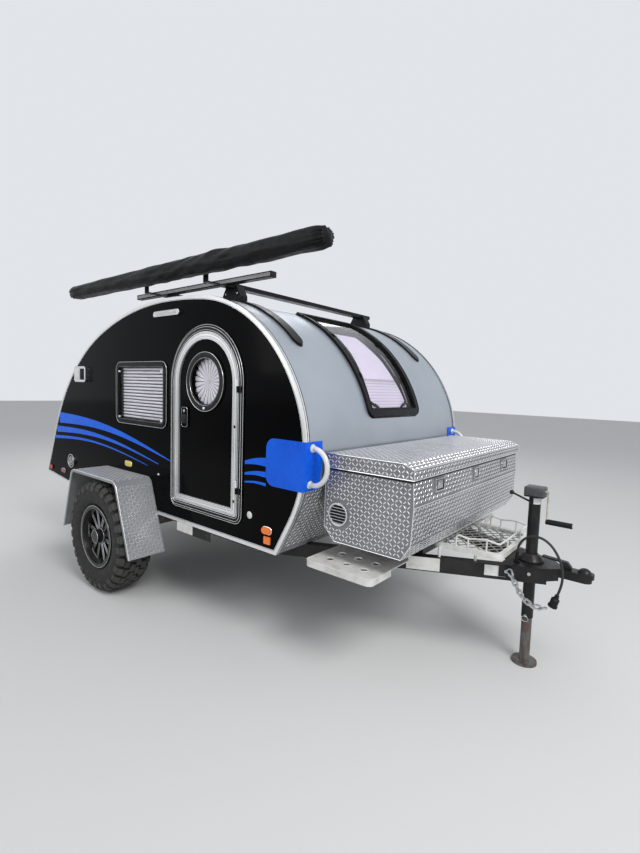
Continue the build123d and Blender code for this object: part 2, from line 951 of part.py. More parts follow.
plate_top = frame_top + coupler_plate
plate = Pos(0, 0, frame_top) * extrude(coupler_plan(plate_x, coupler_plate), amount=coupler_plate)
skirt_face = coupler_plan(plate_x, coupler_plate) - coupler_plan(plate_x - wall, 0)
skirt = Pos(0, 0, frame_top - coupler_skirt) * extrude(skirt_face, amount=coupler_skirt)
skirt = skirt & block(plate_x, snout_x + snout_overlap, -far, far, 0, far)
plate = plate + skirt
snout_low = ball_z - snout_depth
snout = block(snout_x - snout_overlap, ball_x, -snout_half, snout_half, snout_low, plate_top)
snout_hollow = block(
    snout_x - 2 * snout_overlap, ball_x, -hollow_half, hollow_half, 0, frame_top - 2
)
dome = Pos(ball_x, 0, ball_z) * Sphere(ball_radius + socket_wall)
dome = dome + Pos(ball_x, 0, (snout_low + ball_z) / 2) * Cylinder(
    ball_radius + socket_wall, ball_z - snout_low
)
nose = Pos(ball_x + coupler_nose, 0, ball_z) * Cylinder(snout_half - 1.4, 4 * coupler_plate)
socket = Pos(ball_x, 0, ball_z) * Sphere(ball_radius + socket_clearance)
mouth = Pos(ball_x, 0, ball_z - snout_depth) * Cylinder(
    ball_radius + socket_clearance, 2 * snout_depth
)
jack_hole = Pos(jack_x, 0, plate_top) * Cylinder(jack_tube_radius + seat_gap, 60)
hitch_front = snout_x + hitch_latch_ahead
hitch_rear = hitch_front - hitch_latch_length
hitch_top = plate_top + hitch_latch_height
hitch_latch = make_face(
    Polyline(
        (hitch_front, plate_top - 1),
        (hitch_front, plate_top + 1.5 * hitch_lever),
        (hitch_front - 2.5 * hitch_lever, hitch_top - hitch_lever),
        (hitch_rear, hitch_top),
        (hitch_rear, hitch_top - hitch_lever),
        (hitch_front - hitch_latch_height, hitch_top - 2 * hitch_lever),
        (hitch_front - hitch_latch_height, plate_top - 1),
        close=True,
    )
)
coupler = plate + snout - snout_hollow + dome + nose - socket - mouth - jack_hole
coupler = coupler + slab(hitch_latch, -hitch_latch_width / 2, hitch_latch_width / 2)
print("ball", ball_x, ball_z)

# Jack: outer tube with its flange and gear head, and a drop leg with a foot
jack_flange_z = plate_top + seat_gap
jack_tube = Pos(jack_x, 0, jack_tube_bottom) * extrude(
    Circle(jack_tube_radius) - Circle(jack_bore), amount=jack_tube_top - jack_tube_bottom
)
cone = Polyline(
    (jack_tube_radius - 1, 0),
    (jack_flange_radius, 0),
    (jack_flange_radius, jack_flange_height),
    (jack_tube_radius + 5, jack_flange_height + jack_cone_height),
    (jack_tube_radius - 1, jack_flange_height + jack_cone_height),
    close=True,
)
cone = revolve(Plane.XZ * make_face(cone), Axis.Z)
jack_tube = jack_tube + Pos(jack_x, 0, jack_flange_z) * cone
lever_root = (jack_x - jack_bore - 1, 0, jack_tube_top - 30)
lever_end = (jack_x - jack_lever_reach, 0, jack_tube_top + 2)
jack_tube = jack_tube + rod(lever_root, lever_end, jack_lever)
jack_tube = jack_tube + Pos(*lever_end) * Sphere(jack_knob)
head = Pos(jack_x, 0, jack_tube_top) * extrude(
    RectangleRounded(jack_head_length, jack_head_width, jack_head_corner), amount=jack_head_height
)
head = chamfer(head.faces().sort_by(Axis.Z)[-1].edges(), jack_head_edge)
save("jack_tube", jack_tube + head)

leg = Pos(jack_x, 0, 0) * extrude(Circle(jack_foot_radius), amount=jack_foot_height)
leg_shaft = extrude(Circle(jack_leg_radius), amount=jack_leg_top - jack_foot_height)
leg = leg + Pos(jack_x, 0, jack_foot_height) * leg_shaft
save("jack_leg", leg)

crank_z = jack_tube_top + 0.6 * jack_head_height
crank_low = crank_z - crank_radius
shaft_x = jack_x + jack_head_length / 2 + seat_gap
crank_x = shaft_x + crank_reach
crank = rod((shaft_x, 0, crank_z), (crank_x + crank_rod, 0, crank_z), crank_rod)
crank = crank + rod((crank_x, 0, crank_z + crank_rod), (crank_x, 0, crank_low), crank_rod)
grip_start = crank_x - crank_rod
crank = crank + rod((grip_start, 0, crank_low), (grip_start + grip_length, 0, crank_low), grip_radius)
save("jack_crank", crank)

# Toolbox: a folded box with chamfered lower edges, and its lid
def box_profile(inset):
    """The toolbox's side outline, moved in by inset."""
    rear = box_rear_x + inset
    front = box_front_x - inset
    low = box_bottom_z + inset
    corners = (
        (rear, box_top_z),
        (rear, box_bottom_z + box_chamfer_rear + inset / 2),
        (box_rear_x + box_chamfer_rear + inset / 2, low),
        (box_front_x - box_chamfer_front - inset / 2, low),
        (front, box_bottom_z + box_chamfer_front * 1.6 + inset / 2),
        (front + box_crease, box_crease_z),
        (front, box_top_z),
    )
    return make_face(Polyline(*corners, close=True))


lid_bottom = box_top_z + lid_gap
lid_top = lid_bottom + lid_height
inner_side = box_half_width - box_sheet
toolbox = slab(box_profile(0), -box_half_width, box_half_width)
toolbox = toolbox - slab(box_profile(box_sheet) + area(
    box_rear_x + box_sheet, box_front_x - box_sheet, box_top_z - 5, far
), -inner_side, inner_side)
lid_hinge_x = box_rear_x + lid_knuckle_radius
lid_hinge_z = lid_top - lid_knuckle_radius
lid_pin = Pos(lid_hinge_x, lid_hinge_z) * Circle(lid_knuckle_radius)
back_sheet = area(box_rear_x, box_rear_x + box_sheet, box_top_z, lid_hinge_z)
lid_sweep = Pos(lid_hinge_x, lid_hinge_z) * Circle(lid_knuckle_radius + seat_gap)
toolbox = toolbox + slab(back_sheet - lid_sweep, -box_half_width, box_half_width)
for low, high in knuckle_spans(lid_hinge_half, False):
    toolbox = toolbox + slab(lid_pin + back_sheet, low, high)
save("toolbox_body", toolbox)

lid_half = box_half_width + lid_side
lid_rear = lid_hinge_x + lid_knuckle_radius + 1
lid_front = box_front_x + lid_overhang


def lid_profile(inset, low):
    """The lid's side outline with its sloping front, moved in by inset, down to low."""
    corners = (
        (lid_rear - low, lid_bottom - low),
        (lid_front - inset, lid_bottom - low),
        (lid_front - inset, lid_top - lid_slope_drop - inset / 2),
        (lid_front - lid_slope_length - inset / 2, lid_top - inset),
        (lid_rear - low, lid_top - inset),
    )
    return make_face(Polyline(*corners, close=True))


lid = slab(lid_profile(0, 0), -lid_half, lid_half)
lid = lid - slab(lid_profile(box_sheet, 10), box_sheet - lid_half, lid_half - box_sheet)
lid_strip = area(lid_hinge_x, lid_rear + 10, lid_top - box_sheet, lid_top)
for low, high in knuckle_spans(lid_hinge_half, True):
    lid = lid + slab(lid_pin + lid_strip, low, high)
save("toolbox_lid", lid)
print("lid hinge", lid_hinge_x, lid_hinge_z)

# Toolbox fittings: recessed paddle latches on the front, a louvred vent on each side
def recessed_latch(y, width):
    """A plate that fits the folded front, with a sunk paddle in its rim."""
    front = box_front_x + latch_depth
    high_z = latch_low_z + latch_height
    plate = area(box_front_x, front, latch_low_z, high_z) - box_profile(-seat_gap)
    plate = slab(plate, y - width / 2, y + width / 2)
    sunk = front - latch_depth / 2
    inner_width = width / 2 - latch_rim
    room = block(
        sunk, far, y - inner_width, y + inner_width, latch_low_z + latch_rim, high_z - latch_rim
    )
    paddle = block(
        sunk - 1, front - 2, y - inner_width * 0.7, y + inner_width * 0.7,
        latch_low_z + 2 * latch_rim, high_z - 1.6 * latch_rim,
    )
    return plate - room + paddle


def louvred_vent(side):
    """A round vent: a disc, a rim round it and a row of slanting slats."""
    face = box_half_width + seat_gap
    place = Pos(box_rear_x + vent_ahead, vent_z)
    open_radius = vent_radius - vent_rim
    disc = slab(place * Circle(vent_radius), side * face, side * (face + 2))
    rim_ring = place * (Circle(vent_radius) - Circle(open_radius))
    vent = disc + slab(rim_ring, side * face, side * (face + vent_depth))
    room = slab(place * Circle(open_radius + 1), side * (face + 1), side * (face + vent_depth - 1))
    rows = int(open_radius / louvre_pitch)
    for row in range(-rows, rows + 1):
        z = vent_z + row * louvre_pitch
        middle = Pos(box_rear_x + vent_ahead, side * (face + vent_depth / 2), z)
        slat = middle * Rot(side * louvre_slope, 0, 0) * Box(2 * vent_radius, 2 * vent_depth, 2)
        vent = vent + (slat & room)
    return vent


fittings = [recessed_latch(y, width) for y, width in front_latches]
save("toolbox_fittings", *fittings, *both(louvred_vent))


# Step plates on the A-frame, with a rolled lip and six drain holes
def step_plate(side):
    middle = (step_inner + step_outer) / 2
    outline_face = Pos(step_front - step_length / 2, side * middle) * RectangleRounded(
        step_length, step_outer - step_inner, step_corner
    )
    sheet = outline_face
    for column in (-1, 0, 1):
        for row in (0, 1):
            hole = Pos(
                step_front - step_length / 2 + column * step_hole_pitch,
                side * (step_outer - step_hole_inset - row * step_hole_pitch),
            )
            sheet = sheet - hole * Circle(step_hole)
    plate = Pos(0, 0, frame_top) * extrude(sheet, amount=step_sheet)
    ring = outline_face - offset(outline_face, -step_sheet)
    lip = Pos(0, 0, frame_top - step_lip) * extrude(ring, amount=step_lip)
    clear = step_outer - step_lip_length
    return plate + (lip & block(-far, far, side * clear, side * far, 0, far))


save("step_plates", *both(step_plate))

# Luggage rack on the A-frame: tube frame, mesh floor and rod rails
rack_rear_x = box_front_x - rack_start
rack_front_x = jack_x - rack_behind_jack
rack_length = rack_front_x - rack_rear_x


def rack_outline(grow):
    """The rack's plan, moved out by grow from the middle of its tube."""
    corners = (
        (rack_rear_x - grow, -rack_half_rear - grow),
        (rack_front_x + grow, -rack_half_front - grow),
        (rack_front_x + grow, rack_half_front + grow),
        (rack_rear_x - grow, rack_half_rear + grow),
    )
    face = make_face(Polyline(*corners, close=True))
    return fillet(face.vertices(), rack_corner + grow)


hoop = rack_outline(rack_tube) - rack_outline(-rack_tube)
rack = Pos(0, 0, rack_z - rack_tube) * extrude(hoop, amount=2 * rack_tube)
bars = Sketch()
mesh_reach = int((rack_half_rear + rack_length / 2) / mesh_pitch)
for number in range(-mesh_reach, mesh_reach + 1):
    for lean in (-1, 1):
        bar = Pos((rack_rear_x + rack_front_x) / 2 + number * mesh_pitch, 0)
        bar = bar * Rot(0, 0, lean * mesh_lean)
        bars = bars + bar * Rectangle(mesh_bar, 4 * rack_half_rear)
mesh = bars & rack_outline(-rack_tube / 2)
rack = rack + Pos(0, 0, rack_z - 2) * extrude(mesh, amount=4)


def hoop_y(x):
    """Half the spread of the rack's side tubes at x."""
    share = (x - rack_rear_x) / rack_length
    return rack_half_rear + (rack_half_front - rack_half_rear) * share - 3


# One bent rod makes the rack's rail: up at the rear, along, round the front and back
rail_z = rack_z + rack_rail_height
post_low = rack_z + 3
rail_rear_x = box_front_x + 20
rail_front_x = rack_front_x - 4
dip_rear_x = (rail_rear_x + rail_front_x) / 2 - rail_dip_half
dip_front_x = dip_rear_x + 2 * rail_dip_half
dip_z = rail_z - rail_dip
right_half = (
    (rail_rear_x, -hoop_y(rail_rear_x), post_low),
    (rail_rear_x, -hoop_y(rail_rear_x), rail_z),
    (dip_rear_x, -hoop_y(dip_rear_x), dip_z),
    (dip_front_x, -hoop_y(dip_front_x), rail_z),
    (rail_front_x, -hoop_y(rail_front_x), dip_z),
)
left_half = tuple((x, -y, z) for x, y, z in reversed(right_half))
rail_path = FilletPolyline(*right_half, *left_half, radius=rail_bend)
rail_start = Plane(origin=rail_path @ 0, z_dir=rail_path % 0)
rack = rack + sweep(rail_start * Circle(rack_rod), rail_path)
post_places = [(rail_front_x, y, dip_z) for y in (-0.45 * rack_half_front, 0.45 * rack_half_front)]
for side in (-1, 1):
    for x, z in ((dip_rear_x, dip_z), (dip_front_x, rail_z)):
        post_places.append((x, side * hoop_y(x), z))
for x, y, z in post_places:
    rack = rack + rod((x, y, post_low), (x, y, z - 1), rack_rod - 0.7)

# Legs under the rack, on the A-frame
leg_top = rack_z - 9.2
tie_end = rack_half_front + rack_leg
for side in (-1, 1):
    for ahead in rack_leg_places:
        x = rack_rear_x + ahead
        y = side * beam_y(x)
        rack = rack + rod((x, y, frame_top + seat_gap), (x, y, leg_top + 1), rack_leg)
        rack = rack + rod((x, y, leg_top), (x, side * tie_end, leg_top), rack_tie)
save("luggage_rack", rack)

# Door flanges on the walls: a low outer ring and a high inner one
door_flange = door_arch(seam_gap + door_flange_width) - door_arch(seam_gap)
door_flange_high = door_arch(seam_gap + door_flange_face) - door_arch(seam_gap)
door_face = body_half_width + door_rim_depth
door_hinge_x = door_x + door_half_width + seam_gap / 2
door_hinge_y = door_face + door_knuckle_radius
print("door hinge", door_hinge_x, door_hinge_y)


def knuckles(side, moving):
    """The door hinges' knuckles: the moving ones stand on the fixed ones."""
    parts = []
    for z in door_hinge_z:
        low = z + (knuckle_gap / 2 if moving else -door_knuckle_length)
        high = z + (door_knuckle_length if moving else -knuckle_gap / 2)
        barrel = Pos(door_hinge_x, side * door_hinge_y, low) * extrude(
            Circle(door_knuckle_radius), amount=high - low
        )
        reach = door_hinge_x + (-door_leaf_width if moving else door_leaf_width)
        leaf = block(door_hinge_x, reach, side * door_face, side * (door_face + door_leaf_sheet), low, high)
        parts.append(barrel + leaf)
    return parts


def flange_on(side):
    ring = slab(door_flange, side * body_half_width, side * (door_face - door_flange_step))
    ring = ring + slab(door_flange_high, side * body_half_width, side * door_face)
    for knuckle in knuckles(side, False):
        ring = ring + knuckle
    return ring


save("door_flanges", *both(flange_on))


# Doors: leaf with its porthole, bright rim, porthole ring and glass, and the paddle latch
def door_rim_face():
    return door_arch(0) - door_arch(-door_rim_width)


porthole = Pos(door_x, porthole_z)
for side, name in ((-1, "right"), (1, "left")):
    inner = side * inner_half
    outer = side * body_half_width
    leaf = door_arch(0) - porthole * Circle(porthole_glass_radius)
    latch = Pos(door_x - door_half_width + door_latch_inset, door_latch_z)
    latch = latch * RectangleRounded(door_latch_width, door_latch_height, door_latch_corner)
    latch_solid = slab(latch, outer, outer + side * door_latch_depth)
    leaf_solid = slab(leaf, inner, outer) + latch_solid
    save(f"door_leaf_{name}", leaf_solid)
    rim_solid = slab(door_rim_face(), outer, outer + side * door_rim_depth)
    for knuckle in knuckles(side, True):
        rim_solid = rim_solid + knuckle
    save(f"door_rim_{name}", rim_solid)
    ring = porthole * (Circle(porthole_ring_radius) - Circle(porthole_glass_radius))
    save(f"porthole_ring_{name}", slab(ring, outer, outer + side * porthole_ring_depth))
    glass = porthole * Circle(porthole_glass_radius - seat_gap)
    glass_inner = inner + side * porthole_glass_inset
    glass_outer = glass_inner + side * porthole_glass_thickness
    save(f"porthole_glass_{name}", slab(glass, glass_inner, glass_outer))

# Side windows: a stepped frame with a sleeve through the wall, a pane and a pleated blind
frame_face = side_window(0) - side_window(-window_frame_width)
frame_high = side_window(-window_frame_edge) - side_window(-window_frame_width)
sleeve_face = window_hole - side_window(-window_frame_width)
pane_face = side_window(-window_frame_width - seat_gap)
window_frames = []
window_panes = []
window_blinds = []
for side in (-1, 1):
    outer = side * body_half_width
    inner = side * inner_half
    flange = slab(frame_face, outer, outer + side * (window_frame_depth - window_frame_step))
    flange = flange + slab(frame_high, outer, outer + side * window_frame_depth)
    window_frames.append(flange + slab(sleeve_face, inner, outer))
    window_panes.append(slab(pane_face, outer - side * pane_thickness, outer))
    window_blinds.append(slab(pane_face, inner, inner + side * blind_thickness))

# The curved front window's frame, pane and blind follow the roof line
frame_shell = slab(outline(front_frame_height, far) - outline(0, far), -inner_half, inner_half)
sleeve_shell = slab(outline(0, far) - outline(-skin, far), -inner_half, inner_half)
pane_shell = slab(outline(0, far) - outline(-pane_thickness, far), -inner_half, inner_half)
blind_shell = slab(
    outline(-skin + blind_thickness, far) - outline(-skin, far), -inner_half, inner_half
)
front_open = front_window(-front_frame_width)
front_frame = frame_shell & (front_window(0) - front_open)
front_frame = front_frame + (sleeve_shell & (front_hole - front_open))
front_fill = front_window(-front_frame_width - seat_gap)
window_frames.append(front_frame)
window_panes.append(pane_shell & front_fill)
window_blinds.append(blind_shell & front_fill)
save("window_frames", *window_frames)
save("window_panes", *window_panes)
save("window_blinds", *window_blinds)

# Roof rails: two strips along the roof, with rounded front ends
strip_front_x = rear_x + strip_front_ahead
strip_rear_x = rear_x + strip_rear_ahead
strip_shell = slab(outline(strip_height, far) - outline(0, far), -inner_half, inner_half)


def roof_strip(side):
    length = strip_front_x - strip_rear_x
    plan = Pos((strip_front_x + strip_rear_x) / 2, side * strip_offset) * SlotOverall(
        length, strip_width
    )
    return strip_shell & (Pos(0, 0, crown_z - 700) * extrude(plan, amount=1000))


save("roof_strips", *both(roof_strip))

# Roof rack: feet on the strips, cross bars, and a rail along the awning side
roof_rack = Part()
for ahead in rack_bar_ahead:
    x = rear_x + ahead
    roof_rack = roof_rack + block(
        x - rack_bar_width / 2,
        x + rack_bar_width / 2,
        -rack_bar_half,
        rack_bar_half,
        rack_bar_z - rack_bar_height / 2,
        rack_bar_z + rack_bar_height / 2,
    )
    foot_plan = make_face(
        Polyline(
            (x - rack_foot_half, crown_z - 200),
            (x + rack_foot_half, crown_z - 200),
            (x + rack_foot_half, crown_z),
            (x + rack_foot_top, rack_bar_z),
            (x - rack_foot_top, rack_bar_z),
            (x - rack_foot_half, crown_z),
            close=True,
        )
    )
    for side in (-1, 1):
        near = side * (strip_offset - rack_foot_width / 2)
        foot = slab(foot_plan, near, near + side * rack_foot_width)
        foot = foot - slab(outline(strip_height + seat_gap, far), -inner_half, inner_half)
        roof_rack = roof_rack + foot
rail_middle = rear_x + (rack_bar_ahead[0] + rack_bar_ahead[1]) / 2 + side_rail_ahead
rail_inner = rack_bar_half - 5
roof_rack = roof_rack + block(
    rail_middle - side_rail_length / 2,
    rail_middle + side_rail_length / 2,
    -rail_inner,
    -rail_inner - side_rail_width,
    rack_bar_z - side_rail_height / 2,
    rack_bar_z + side_rail_height / 2,
)
awning_near = awning_offset - awning_depth / 2
upright_face = awning_near - seat_gap
upright_back = upright_face - bracket_sheet
arm_low = rack_bar_z - bracket_sheet - 5
for ahead in rack_bar_ahead:
    rear = rear_x + ahead - bracket_width / 2
    front = rear + bracket_width
    arm = block(rear, front, -rack_bar_half, -upright_face, arm_low, arm_low + bracket_sheet)
    upright = block(rear, front, -upright_face, -upright_back, arm_low, awning_z + 30)
    roof_rack = roof_rack + arm + upright
save("roof_rack", roof_rack)

# Rolled awning in its bag
awning_x = rear_x + awning_ahead_of_rear
bag = Plane(origin=(awning_x, -awning_offset, awning_z), x_dir=(0, 1, 0), z_dir=(1, 0, 0)) * (
    extrude(RectangleRounded(awning_depth, awning_height, awning_corner), amount=awning_length)
)
save("awning_bag", bag)


# Corner plates wrapped round the front edge of each wall, with a white D handle
def corner_plate(side):
    outer = side * (body_half_width + trim_thickness)
    low = plate_z - plate_height / 2
    high = plate_z + plate_height / 2
    start = front_most - plate_reach
    round_plate = area(start, front_most + 100, low, high)
    round_plate = fillet(round_plate.vertices().group_by(Axis.X)[0], plate_corner)
    side_leaf = round_plate & outline(trim_thickness + plate_sheet)
    leaf = slab(side_leaf, outer, outer + side * plate_sheet)
    shell = outline(trim_thickness + plate_sheet) - outline(trim_thickness)
    wrap = shell & area(crown_x, far, low, high)
    return leaf + slab(wrap, outer, outer - side * plate_wrap)


save("corner_plates", *both(corner_plate))


def grab_handle(side):
    y = side * (body_half_width - handle_inset)
    high = plate_z + handle_span / 2
    low = plate_z - handle_span / 2
    surface = trim_thickness + plate_sheet + seat_gap
    top = (nose_x(high, surface) - 20, y, high)
    bottom = (nose_x(low, surface) - 20, y, low)
    reach = front_most + handle_reach
    path = FilletPolyline(
        top, (reach, y, high), (reach, y, low), bottom, radius=handle_span / 2 - 4
    )
    start = Plane(origin=path @ 0, z_dir=path % 0)
    bow = sweep(start * Circle(handle_radius), path)
    return bow - slab(outline(surface), y - 60, y + 60)


save("grab_handles", *both(grab_handle))


# Lamps, caps and fittings on the walls
def on_wall(face, depth):
    return [slab(face, s * body_half_width, s * (body_half_width + depth)) for s in (-1, 1)]


def slot_on_wall(row):
    ahead, height, length, width, depth = row
    return on_wall(Pos(rear_x + ahead, height) * SlotOverall(length, width), depth)


def plate_on_wall(row, corner):
    ahead, height, length, width, depth = row
    return on_wall(Pos(rear_x + ahead, height) * RectangleRounded(length, width, corner), depth)


def round_on_wall(row):
    ahead, height, radius, depth = row
    return on_wall(Pos(rear_x + ahead, height) * Circle(radius), depth)


save("amber_lamps", *slot_on_wall(amber_marker), *plate_on_wall(amber_reflector, 5))
save("red_lamps", *plate_on_wall(red_reflector, 5), *slot_on_wall(red_marker))
caps = round_on_wall(filler_cap) + round_on_wall(small_cap)
caps += slot_on_wall(porch_light) + plate_on_wall(rear_fitting, 24)
save("wall_fittings", *caps)


# Cable from a gland on the coupler plate, over and down to its plug: (behind the tip, across, up)
cable_points = (
    (333, -85, 566),
    (333, -85, 605),
    (325, -88, 645),
    (298, -92, 682),
    (257, -96, 702),
    (211, -100, 698),
    (171, -103, 672),
    (141, -104, 630),
    (121, -104, 582),
    (115, -104, 532),
    (120, -103, 482),
    (133, -101, 440),
)
cable_route = [(tip_x - back, y, z) for back, y, z in cable_points]


def corner_radii(points):
    """A radius for each corner: 0.45 of its shorter run, over the tangent of half the turn."""
    radii = []
    for before, here, after in zip(points, points[1:], points[2:]):
        arrive = Vector(*here) - Vector(*before)
        leave = Vector(*after) - Vector(*here)
        shorter = min(arrive.length, leave.length)
        half_turn = math.radians(arrive.get_angle(leave)) / 2
        radii.append(0.45 * shorter / math.tan(half_turn))
    return radii


cable_radii = corner_radii(cable_route)
print("cable radii", [round(radius) for radius in cable_radii])
cable_path = FilletPolyline(*cable_route, radius=cable_radii)
cable_start = Plane(origin=cable_path @ 0, z_dir=cable_path % 0)
cable = sweep(cable_start * Circle(cable_radius), cable_path)
print("cable length", round(cable_path.length), "volume share",
      round(cable.volume / (math.pi * cable_radius**2 * cable_path.length), 4))
save("cable", cable)

plug_plane = Plane(origin=cable_path @ 1, z_dir=cable_path % 1)
plug_profile = Polyline(
    (0, 0), (9, 0), (12, 18), (19, 24), (19, 58), (22, 58), (22, 66), (0, 66), close=True
)
save("cable_plug", plug_plane * revolve(Plane.XZ * make_face(plug_profile), Axis.Z))

gland_base = Pos(cable_route[0][0], cable_route[0][1], plate_top + seat_gap)
gland = gland_base * extrude(RegularPolygon(15, 6), amount=8)
gland_top = cable_route[0][2] - plate_top - seat_gap
save("cable_gland", gland + gland_base * extrude(Circle(9.5), amount=gland_top))

# Safety chain: links of flat faces along a hanging line, from an eye on the coupler's skirt
link_length = 40
link_width = 27
link_wire = 7
eye_radius = 4
chain_points = (
    (337, -186, 531),
    (315, -188, 490),
    (292, -186, 446),
    (265, -180, 408),
    (227, -168, 380),
    (185, -148, 373),
    (157, -131, 382),
)
chain_line = Polyline(*[(tip_x - back, y, z) for back, y, z in chain_points])


def link_outline(inset):
    """An eight-cornered link outline, moved in by inset."""
    half_long = link_length / 2 - inset
    half_wide = link_width / 2 - inset
    cut = 0.55 * half_wide
    face = Rectangle(2 * half_long, 2 * half_wide)
    return chamfer(face.vertices(), cut)


def link():
    """One link, standing along Z."""
    ring = link_outline(0) - link_outline(link_wire)
    return Rot(0, 90, 0) * extrude(ring, amount=link_wire / 2, both=True)


link_pitch = link_length - 2 * link_wire - 0.6
links = []
for number in range(int(chain_line.length / link_pitch)):
    at = (number + 0.5) * link_pitch / chain_line.length
    plane = Plane(origin=chain_line @ at, x_dir=(0, 1, 0), z_dir=chain_line % at)
    links.append(plane * Rot(0, 0, 90 * (number % 2)) * link())
print("links", len(links))
first = chain_line @ (0.5 * link_pitch / chain_line.length)
eye_at = first - (chain_line % 0) * (link_length / 2 - link_wire - eye_radius - seat_gap)
skirt_face_y = -(beam_y(eye_at.X) + skirt_gap + coupler_plate)
eye_end = eye_at.Y - link_wire / 2 - 3
eye = rod((eye_at.X, skirt_face_y + 4, eye_at.Z), (eye_at.X, eye_end, eye_at.Z), eye_radius)
eye = eye + rod((eye_at.X, eye_end, eye_at.Z), (eye_at.X, eye_end - 4, eye_at.Z), 8)
save("safety_chain", *links)
save("coupler", coupler + eye)
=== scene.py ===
# %% [markdown]
# # A teardrop camping trailer in Blender
# The trailer's solid parts were drawn in a CAD program and come in as a fixed frame.
# This lesson dresses them: it gives each part its finish, and adds what is too fine or
# too soft for the CAD, such as the raised bars of the tread plate, the tyre's blocks,
# the pleated shades and the bagged awning.
# All lengths are in metres. +X points to the coupler, +Y to the left side and +Z up.

# %% Load the frame
import json
import math

import bmesh
import bpy
import numpy as np
from mathutils import Matrix, Vector, noise
from mathutils.bvhtree import BVHTree


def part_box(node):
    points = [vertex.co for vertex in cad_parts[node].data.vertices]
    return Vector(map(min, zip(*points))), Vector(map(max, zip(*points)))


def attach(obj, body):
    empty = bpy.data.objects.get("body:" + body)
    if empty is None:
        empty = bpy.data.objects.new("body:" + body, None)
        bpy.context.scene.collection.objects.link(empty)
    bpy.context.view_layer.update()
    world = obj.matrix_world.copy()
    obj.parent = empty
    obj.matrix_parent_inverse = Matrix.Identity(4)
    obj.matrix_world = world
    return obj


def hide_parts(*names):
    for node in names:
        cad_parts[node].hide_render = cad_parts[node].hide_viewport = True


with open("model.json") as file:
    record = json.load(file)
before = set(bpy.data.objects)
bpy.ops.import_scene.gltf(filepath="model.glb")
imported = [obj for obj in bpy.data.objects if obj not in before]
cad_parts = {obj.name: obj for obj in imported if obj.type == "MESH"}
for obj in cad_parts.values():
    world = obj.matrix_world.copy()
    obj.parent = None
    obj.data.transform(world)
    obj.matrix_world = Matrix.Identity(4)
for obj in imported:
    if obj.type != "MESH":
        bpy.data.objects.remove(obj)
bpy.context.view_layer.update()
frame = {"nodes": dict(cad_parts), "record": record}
nodes = frame["nodes"]
SIDES = (("right", -1), ("left", 1))

# %% [markdown]
# The camera comes first, because everything else is judged through it. Its place and
# direction were worked out from the photograph: it stands near the front right corner,
# a little below the roof, looks slightly down, and is rolled by almost two degrees.
# A short lens makes the tongue look large and the rear small, as it does in the photo.

# %% Camera
EYE = Vector((2.408, -2.527, 1.397))
HEADING = math.radians(39.2)
DOWN = math.radians(4.76)
ROLL = math.radians(1.84)
LENS = 19.82

ahead = Vector((-math.sin(HEADING) * math.cos(DOWN), math.cos(HEADING) * math.cos(DOWN), -math.sin(DOWN)))
level = ahead.cross(Vector((0, 0, 1))).normalized()
above = level.cross(ahead)
right = level * math.cos(ROLL) + above * math.sin(ROLL)
top = above * math.cos(ROLL) - level * math.sin(ROLL)
camera_data = bpy.data.cameras.new("camera")
camera_data.lens = LENS
camera = bpy.data.objects.new("camera", camera_data)
camera.matrix_world = Matrix((right, top, -ahead)).transposed().to_4x4()
camera.location = EYE
bpy.context.scene.collection.objects.link(camera)
bpy.context.scene.camera = camera
print("camera at", tuple(EYE), "lens", LENS)

# %% [markdown]
# The studio is plain: a pale floor, a pale world and three large soft lamps. The world's
# colour for what the camera, the glossy paint and the glass see is set apart from the
# light it gives, so the background can be pale without washing the black paint out.

# %% Floor, world and lamps
scene = bpy.context.scene
scene.view_settings.view_transform = "Standard"


def paint_world(light, seen):
    """Give the world one strength as light, and another where it is looked at."""
    world = bpy.data.worlds.new("studio")
    scene.world = world
    world.use_nodes = True
    tree = world.node_tree
    background = tree.nodes["Background"]
    path = tree.nodes.new("ShaderNodeLightPath")
    look = tree.nodes.new("ShaderNodeMath")
    look.operation = "MAXIMUM"
    tree.links.new(path.outputs["Is Camera Ray"], look.inputs[0])
    through = tree.nodes.new("ShaderNodeMath")
    through.operation = "MAXIMUM"
    tree.links.new(path.outputs["Is Glossy Ray"], through.inputs[0])
    tree.links.new(path.outputs["Is Transmission Ray"], through.inputs[1])
    tree.links.new(through.outputs[0], look.inputs[1])
    strength = tree.nodes.new("ShaderNodeMapRange")
    strength.inputs["To Min"].default_value = light
    strength.inputs["To Max"].default_value = seen
    tree.links.new(look.outputs[0], strength.inputs["Value"])
    tree.links.new(strength.outputs["Result"], background.inputs["Strength"])
    background.inputs["Color"].default_value = (0.92, 0.95, 1.0, 1.0)


def lamp(name, place, aim, size, power):
    """A square soft lamp that looks at a point."""
    data = bpy.data.lights.new(name, "AREA")
    data.size = size
    data.energy = power
    light = bpy.data.objects.new(name, data)
    light.location = place
    light.rotation_euler = (Vector(aim) - Vector(place)).to_track_quat("-Z", "Y").to_euler()
    scene.collection.objects.link(light)


paint_world(light=0.5, seen=0.82)
lamp("key", (5.5, -2.0, 6.0), (0.3, 0, 0.9), 3.0, 300)
lamp("fill", (-2.5, -6.0, 3.5), (0, -0.5, 1.0), 4.0, 80)
lamp("back", (-4.5, 4.5, 4.5), (-0.5, 0, 1.0), 4.0, 110)

